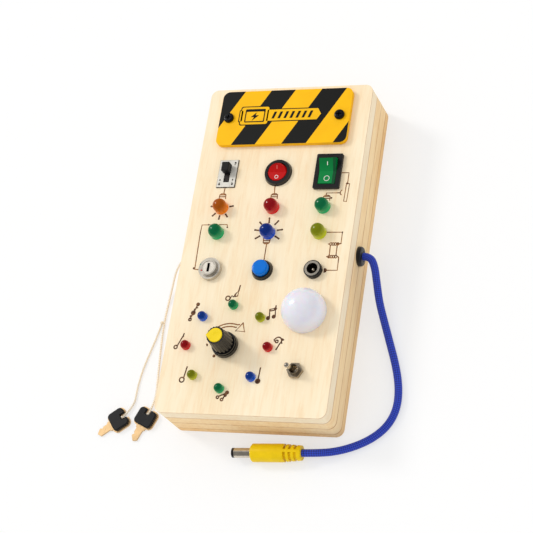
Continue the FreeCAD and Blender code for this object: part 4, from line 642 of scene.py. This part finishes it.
def relay_strokes():
    """From the lime lamp through two coils to the socket."""
    lines = [[(35.2, 7.6), (44.3, 7.6), (44.4, 1.0), (43.4, 0.6)]]
    for y in (0.5, -7.1):
        lines += [[(36.9, y), (38.0, y)], [(43.0, y), (44.0, y)]]
        lines += [circle(x, y, 0.75) for x in (38.6, 39.9, 41.2, 42.5)]
    lines += [
        [(38.4, -0.4), (38.6, -6.2)],
        [(42.4, -0.4), (42.5, -6.2)],
        [(44.0, -7.1), (44.3, -8.0), (44.5, -15.2), (38.2, -15.2)],
    ]
    return lines


def note_strokes():
    """Plain notes and horns, one beside each lamp of the ring."""
    horn = [
        circle(-17.2, -32.4, 1.3, 14),
        [(-16.2, -33.4), (-15.0, -30.8), (-14.0, -31.6), (-12.9, -29.6)],
        [(-12.9, -29.6), (-11.4, -27.9), (-11.6, -31.0), (-13.4, -31.4)],
        [(-11.4, -27.9), (-11.0, -24.4)],
    ]
    beads = [
        [(-38.2, -45.4), (-36.9, -42.6)],
        circle(-37.9, -45.4, 0.8, 10),
        circle(-36.6, -41.4, 1.1),
        circle(-36.6, -41.4, 0.5, 8),
        [(-36.0, -40.2), (-34.9, -37.0)],
        circle(-34.6, -36.3, 0.8, 10),
        [(-35.8, -38.6), (-34.2, -38.2)],
    ]
    pair = [
        circle(8.6, -43.8, 0.85, 10),
        circle(11.8, -42.9, 0.85, 10),
        [(9.4, -43.6), (8.8, -38.7), (12.1, -37.9), (12.6, -42.8)],
        [(8.9, -39.7), (12.2, -38.9)],
        [(12.1, -37.9), (12.2, -36.2)],
    ]
    clef = [
        [(14.6, -57.4), (14.2, -56.2)] + arc((16.6, -56.8), 2.0, 150, -50, 14),
        [(17.9, -58.3), (16.2, -62.0)],
        circle(15.9, -57.3, 0.8, 10),
        [(19.0, -58.6), (18.4, -56.0), (20.0, -56.4)],
    ]
    quarter_note = [[(8.6, -79.2), (8.9, -72.4)]]
    low_horn = [
        [(-12.6, -89.6), (-10.4, -88.6), (-8.2, -87.4)],
        circle(-13.3, -90.2, 0.75, 10),
        circle(-10.7, -91.4, 0.75, 10),
        [(-10.0, -91.0), (-9.2, -88.6)],
    ]
    half_notes = [
        circle(-36.3, -80.9, 1.4, 14),
        [(-35.4, -79.8), (-34.4, -73.0)],
        circle(-43.6, -61.9, 1.0),
        [(-42.8, -61.3), (-40.2, -55.2), (-39.8, -53.6)],
    ]
    return horn + beads + pair + clef + quarter_note + low_horn + half_notes


def arrow_strokes():
    """The turning arrow round the knob, and a tick beside it."""
    knob = centre_of("ring_lamps_green")/MM
    return [
        arc(knob, 13.6, 135, 72, 14) + [(-7.3, -47.8)],
        arc(knob, 11.9, 135, 74, 14) + [(-8.9, -49.4)],
        [(-5.6, -46.9), (-4.0, -52.0), (-9.2, -51.6), (-5.6, -46.9)],
        [(-25.2, -59.4), (-24.6, -61.0)],
    ]


def ray_strokes():
    amber = centre_of("amber_lamp")/MM
    blue = centre_of("blue_lamp")/MM
    lines = rays(amber, 5.0, 6.8, (170, 224, 264, 308, 11))
    return lines + rays((blue.x - 0.3, blue.y + 0.9), 5.6, 8.2, (94, 52, 8, -32, 136, 173, 211))


CIRCUIT_DOTS = [
    (-25.1, 10.9, 0.5), (-37.0, 12.6, 0.5), (-41.2, -14.4, 0.7), (44.3, 7.6, 0.45),
    (44.4, 0.8, 0.4), (43.1, 37.4, 0.55), (42.6, 37.5, 0.5), (38.2, 44.2, 0.4),
    (38.4, -7.2, 0.4), (42.6, 0.4, 0.6),
]
SIGN_DOTS = [
    (8.5, -80.3, 1.6), (-34.6, -74.2, 0.5), (-40.2, -55.6, 0.55), (-8.2, -87.4, 1.2),
    (-9.0, -89.0, 1.0), (12.1, -38.2, 0.9), (8.6, -43.8, 0.75), (11.8, -42.9, 0.75),
    (8.9, -39.0, 0.45), (-5.6, -46.9, 0.4), (-4.0, -52.0, 0.4), (-9.2, -51.6, 0.4),
    (-11.5, -28.0, 0.5), (-13.2, -30.4, 0.6), (-34.6, -36.4, 1.0), (-36.6, -41.4, 1.0),
    (-36.0, -39.4, 0.7), (-37.8, -43.4, 0.7), (19.0, -56.2, 0.8), (16.2, -61.9, 0.5),
    (-19.6, -66.6, 0.9), (-24.8, -60.2, 0.6), (38.6, 31.7, 0.3), (34.8, 28.6, 0.6),
]


def make_face_lines():
    burn_lines("circuit_lines", lamp_strokes() + relay_strokes(), CIRCUIT_STROKE, "scorched")
    burn_lines("note_signs", note_strokes(), NOTE_STROKE)
    burn_lines("turning_arrow", arrow_strokes(), ARROW_STROKE, "scorched")
    lamp_rays = ray_strokes()
    burn_lines("lamp_rays", lamp_rays, RAY_STROKE)
    ray_dots = [(*end, RAY_DOT) for ray in lamp_rays for end in ray]
    burn_dots("face_scorch", ray_dots + CIRCUIT_DOTS + SIGN_DOTS)
    # plug sign beside the socket
    bm = bmesh.new()
    for outline in ([(34.9, -16.0), (34.9, -14.6), (36.2, -14.6), (36.2, -16.0)],
                    arc((37.2, -15.3), 1.35, -110, 110)):
        flat_shape(bm, outline, FACE, FACE + SIGN_HEIGHT)
    keep(from_bmesh("socket_sign", bm), "root", "burnt")


# Label on the striped plate: a bolt in a box and plain slanted bars. Its shapes are in mm.

LABEL_SHIFT = (-1.6, 1.2)       # from the middle of the plate
LABEL_RIM = 0.6
LABEL_LAYER = 0.03*MM           # thickness of each layer
BAR_COUNT = 7
BAR_FIRST, BAR_STEP = -4.6, 3.7


def rounded(x, y, width, height, radius):
    """The outline of a rounded rectangle, in mm."""
    points = []
    for across, up, start in ((1, 1, 0), (-1, 1, 90), (-1, -1, 180), (1, -1, 270)):
        corner = (x + across*(width/2 - radius), y + up*(height/2 - radius))
        points += arc(corner, radius, start, start + 90, 4)
    return points


def swollen(shape, by):
    """The outline grown about its own middle, so that a rim shows all round."""
    xs = [x for x, _ in shape]
    ys = [y for _, y in shape]
    middle = ((min(xs) + max(xs))/2, (min(ys) + max(ys))/2)
    across = 1 + 2*by/(max(xs) - min(xs))
    up = 1 + 2*by/(max(ys) - min(ys))
    return [(middle[0] + (x - middle[0])*across, middle[1] + (y - middle[1])*up) for x, y in shape]


def make_label():
    centre = centre_of("hazard_plate")/MM
    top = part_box("hazard_plate")[1].z
    x, y = centre.x + LABEL_SHIFT[0], centre.y + LABEL_SHIFT[1]
    strip = [(-9.0, -3.6), (-9.0, 3.6), (22.0, 3.6), (24.2, 0), (22.0, -3.6)]
    badge = rounded(-16.6, 0, 17.0, 11.2, 1.2)
    ears = rounded(-25.0, 0, 1.8, 7.0, 0.6)
    frame_edge = rounded(-16.4, 0, 12.4, 8.6, 0.6)
    window = rounded(-16.4, -0.5, 11.0, 6.2, 0.4)
    bolt = [(-15.4, 2.2), (-18.9, -0.9), (-16.9, -0.9), (-17.9, -3.4), (-13.9, 0.2), (-16.0, 0.2)]
    bars = []
    for i in range(BAR_COUNT):
        left = BAR_FIRST + i*BAR_STEP
        bars.append([(left - 1.3, -2.2), (left + 0.3, -2.2), (left + 1.7, 2.2), (left + 0.1, 2.2)])
    layers = [
        ("label_outline", [swollen(shape, LABEL_RIM) for shape in (strip, badge, ears)], "label_black"),
        ("label_field", [strip, badge, ears], "label_yellow"),
        ("label_marks", [frame_edge] + bars, "label_black"),
        ("label_window", [window], "label_yellow"),
        ("label_bolt", [bolt], "label_black"),
    ]
    for level, (name, shapes, finish) in enumerate(layers):
        bm = bmesh.new()
        for shape in shapes:
            flat_shape(bm, [(px + x, py + y) for px, py in shape], top + level*LABEL_LAYER,
                       top + (level + 1)*LABEL_LAYER)
        keep(from_bmesh(name, bm), "root", finish)


# Marks on the rockers

ROCKER_TILT = math.radians(13)
ROCKER_TOP = 1.5*MM             # of the ridge, over the pivot
ROCKER_PIVOT = 0.6*MM           # over the face
MARK_HEIGHT = 0.05*MM
RING_STROKE = 0.28              # mm, as the two below
BAR_HALF_WIDTH = 0.2
BAR_HALF_LENGTH = 1.0


def on_rocker(bm, node, side):
    """Puts marks drawn flat about the rocker's middle onto its upper (1) or its lower (-1) half."""
    middle = centre_of(node.replace("button", "housing"))
    slope = Matrix.Rotation(side*ROCKER_TILT, 4, "X")
    lean = Matrix.Rotation(ROCKER_TILT, 4, "X")
    pivot = Matrix.Translation((middle.x, middle.y, FACE + ROCKER_PIVOT))
    bmesh.ops.transform(bm, matrix=pivot @ lean @ Matrix.Translation((0, 0, ROCKER_TOP)) @ slope,
                        verts=bm.verts)


def flat_ring(bm, x, y, radius, stroke, height):
    """A flat ring: its radius is that of its hole."""
    rings = []
    for reach in (radius + stroke, radius):
        corners = [bm.verts.new((px*MM, py*MM, 0)) for px, py in circle(x, y, reach, 32)[:-1]]
        rings += [bm.edges.new(pair) for pair in zip(corners, corners[1:] + corners[:1])]
    bmesh.ops.bridge_loops(bm, edges=rings)
    raise_copy(bm, bm.faces[:], height)


def make_rocker_marks():
    for node, body, slot, reach, size, bar_finish in (
            ("round_rocker_button", "round_rocker", "red_clear", 2.9, 0.85, "faint_mark"),
            ("square_rocker_button", "square_rocker", "green_clear", 4.4, 1.4, "mark")):
        bm = bmesh.new()
        bar = box(-BAR_HALF_WIDTH, reach - BAR_HALF_LENGTH, BAR_HALF_WIDTH, reach + BAR_HALF_LENGTH)
        flat_shape(bm, bar, 0, MARK_HEIGHT)
        on_rocker(bm, node, 1)
        keep(from_bmesh(f"{body}_on_mark", bm), body, bar_finish)
        bm = bmesh.new()
        flat_ring(bm, 0, -reach, size, RING_STROKE, MARK_HEIGHT)
        on_rocker(bm, node, -1)
        keep(from_bmesh(f"{body}_off_mark", bm), body, "mark")


SIDE_SHADE_SPAN = (3.3, 4.88)        # mm across the green rocker
SIDE_SHADE_REACH = 7.9
SIDE_SHADE_HEIGHT = 0.06*MM


def make_rocker_side_shade():
    """Painted shade: a darker strip along the right edge of the green rocker, standing in for its shaded
    side.
    """
    left, right = SIDE_SHADE_SPAN
    for half, side in (("upper", 1), ("lower", -1)):
        bm = bmesh.new()
        low, high = sorted((0, side*SIDE_SHADE_REACH))
        flat_shape(bm, box(left, low, right, high), 0, SIDE_SHADE_HEIGHT)
        on_rocker(bm, "square_rocker_button", side)
        keep(from_bmesh(f"green_rocker_{half}_painted_side_shade", bm), "square_rocker", "green_side_shade")


# Small marks on the metal controls, knots, and softened edges

PLATE_SHADE_WIDTH = 0.3                 # mm of painted shade that shows round the slide switch plate
PLATE_SHADE_HEIGHT = 0.35*MM
DIMPLE_SHADE_HEIGHT = 0.03*MM
PAINT_HEIGHT = 0.05*MM
LOCK_FLANGE = 2.6*MM            # tops of the lock's flange and lip over the face
LOCK_LIP = 4.3*MM
KNOTS = (
    ("long_string_knot", (-0.06834, -0.0918, 0.0013), 1.15*MM),
    ("short_string_knot", (-0.08431, -0.09431, 0.0013), 1.15*MM),
    ("middle_string_knot", (-0.0705, -0.0358, 0.0012), 1.1*MM),
)


def discs(name, spots, level, height, finish):
    """Small flat spots of paint or shadow, as (x, y, radius) in mm."""
    bm = bmesh.new()
    for x, y, radius in spots:
        flat_shape(bm, circle(x, y, radius, 18)[:-1], level, level + height)
    keep(from_bmesh(name, bm), "root", finish)


def make_small_marks():
    low, high = (corner/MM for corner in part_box("slide_switch_frame"))
    # Painted shade: dark discs in the plate's dimples, and a dark sheet that shows round its edge.
    spots = []
    for x in (low.x + 1.5, high.x - 1.5):
        spots += [(x, low.y + 1.7, 0.62), (x, high.y - 1.7, 0.62), (x, low.y + 4.6, 0.38)]
    discs("slide_plate_dimple_shade", spots, high.z*MM, DIMPLE_SHADE_HEIGHT, "painted_shade")
    bm = bmesh.new()
    rim = box(low.x - PLATE_SHADE_WIDTH, low.y - PLATE_SHADE_WIDTH, high.x + PLATE_SHADE_WIDTH, high.y + PLATE_SHADE_WIDTH)
    flat_shape(bm, rim, FACE, FACE + PLATE_SHADE_HEIGHT)
    keep(from_bmesh("slide_plate_edge_shade", bm), "root", "painted_shade")
    lock = centre_of("lock_body")/MM
    discs("lock_green_dot", [(lock.x - 5.6, lock.y + 2.4, 0.38)], FACE + LOCK_FLANGE, PAINT_HEIGHT,
          "green_paint")
    discs("lock_red_dot", [(lock.x - 3.7, lock.y - 2.0, 0.45)], FACE + LOCK_LIP, PAINT_HEIGHT,
          "red_paint")


def make_knots():
    """Small knots where the strings are tied."""
    made = []
    for name, place, size in KNOTS:
        bm = bmesh.new()
        for turn in (0, 60, 120):
            lobe = bmesh.ops.create_uvsphere(bm, u_segments=20, v_segments=12, radius=size)
            bmesh.ops.scale(bm, verts=lobe["verts"], vec=(1, 0.55, 0.9))
            bmesh.ops.rotate(bm, verts=lobe["verts"], cent=(0, 0, 0),
                             matrix=Matrix.Rotation(math.radians(turn), 3, "Z"))
        bmesh.ops.translate(bm, verts=bm.verts, vec=place)
        made.append(keep(from_bmesh(name, bm), "root", "string"))
    return made


def soften(node, width):
    """Rounds the hard edges of a solid from the frame a little, once its flat faces are whole."""
    obj = nodes[node]
    weld = obj.modifiers.new("weld", "WELD")
    weld.merge_threshold = 2e-6
    flat = obj.modifiers.new("flat", "DECIMATE")
    flat.decimate_type = "DISSOLVE"
    flat.angle_limit = math.radians(2)
    round_it = obj.modifiers.new("round", "BEVEL")
    round_it.width = width
    round_it.segments = 2
    round_it.limit_method = "ANGLE"
    round_it.angle_limit = math.radians(40)
    round_it.use_clamp_overlap = True


SOFT_EDGES = {
    "key_heads": 0.35*MM, "hazard_plate": 0.5*MM, "slide_switch_handle": 0.3*MM,
    "square_rocker_housing": 0.35*MM, "push_button_cap": 0.4*MM, "knob_cap": 0.3*MM,
    "plug_body": 0.25*MM, "battery_door": 0.4*MM,
}


# Floor and light

WHITE = (1, 1, 1, 1)
FLOOR_SIZE = 6
FLOOR_LEVEL = -0.02*MM
FLOOR_GREY = (0.93, 0.93, 0.93, 1)
FLOOR_GLOW = 0.55               # share of plain white where the floor itself is seen
WORLD_LEVEL = 0.88
GLOSS_LEVEL = 0.26              # what shiny pieces see of the room, and of the soft box in it
BOX_LEVEL = 1.5
BOX_EDGES = (0.9, 0.98)         # cosines of its outer and inner edge from the way to the key light
KEY_LEVEL = 1.0
KEY_ANGLE = math.radians(14)
KEY_COLOUR = (1.0, 0.985, 0.96)
KEY_WAY = Vector((0.70, -0.32, -0.64))


def make_stage():
    bpy.ops.mesh.primitive_plane_add(size=FLOOR_SIZE, location=(0, 0, 0))
    floor = bpy.context.object
    floor.name = "floor"
    floor.data.transform(Matrix.Translation((0, 0, FLOOR_LEVEL)))
    made = Finish("floor_white", Base_Color=FLOOR_GREY, Roughness=0.9, Specular_IOR_Level=0.0)
    glow = made.node("ShaderNodeEmission", {"Color": WHITE})
    ray = made.node("ShaderNodeLightPath").outputs
    seen = made.math("MAXIMUM", ray["Is Camera Ray"], ray["Is Glossy Ray"])
    seen = made.math("MAXIMUM", seen, ray["Is Transmission Ray"])
    share = made.math("MULTIPLY", seen, FLOOR_GLOW)
    mix = made.mix_shaders(share, made.shader.outputs[0], glow.outputs[0])
    made.tree.links.new(mix, made.tree.nodes["Material Output"].inputs["Surface"])
    floor.data.materials.append(made.material)


def make_world():
    """A white room that shiny pieces see as dim, with a soft box on the key light's side."""
    world = bpy.data.worlds.new("studio")
    bpy.context.scene.world = world
    world.use_nodes = True
    made = Graph(world.node_tree)
    room = made.tree.nodes["Background"]
    room.inputs["Color"].default_value = WHITE
    room.inputs["Strength"].default_value = WORLD_LEVEL
    backdrop = made.node("ShaderNodeBackground", {"Color": WHITE, "Strength": 1.0})
    ray = made.node("ShaderNodeLightPath").outputs
    seen = made.math("MAXIMUM", ray["Is Camera Ray"], ray["Is Transmission Ray"])
    plain = made.mix_shaders(seen, room.outputs[0], backdrop.outputs[0])
    way = made.node("ShaderNodeTexCoord").outputs["Generated"]
    towards = made.node("ShaderNodeVectorMath", {0: way, 1: -KEY_WAY.normalized()},
                        operation="DOT_PRODUCT")
    soft_box = made.fit(towards.outputs["Value"], *BOX_EDGES, GLOSS_LEVEL, BOX_LEVEL)
    shine = made.node("ShaderNodeBackground", {"Color": WHITE, "Strength": soft_box})
    mix = made.mix_shaders(ray["Is Glossy Ray"], plain, shine.outputs[0])
    made.tree.links.new(mix, made.tree.nodes["World Output"].inputs["Surface"])


def make_key_light():
    data = bpy.data.lights.new("key_light", "SUN")
    data.energy = KEY_LEVEL
    data.angle = KEY_ANGLE
    data.color = KEY_COLOUR
    key = bpy.data.objects.new("key_light", data)
    bpy.context.scene.collection.objects.link(key)
    key.rotation_mode = "QUATERNION"
    key.rotation_quaternion = KEY_WAY.to_track_quat("-Z", "Y")


make_camera()
finishes = make_finishes()
for node_name, finish_name in NODE_FINISH.items():
    mesh = nodes[node_name].data
    mesh.materials.clear()
    mesh.materials.append(finishes[finish_name])
rubber_grommet = make_grommet()
string_knots = make_knots()
make_cords()
for node_name, edge in SOFT_EDGES.items():
    soften(node_name, edge)
make_small_marks()
make_face_lines()
make_label()
make_rocker_marks()
make_rocker_side_shade()
make_stage()
make_world()
make_key_light()
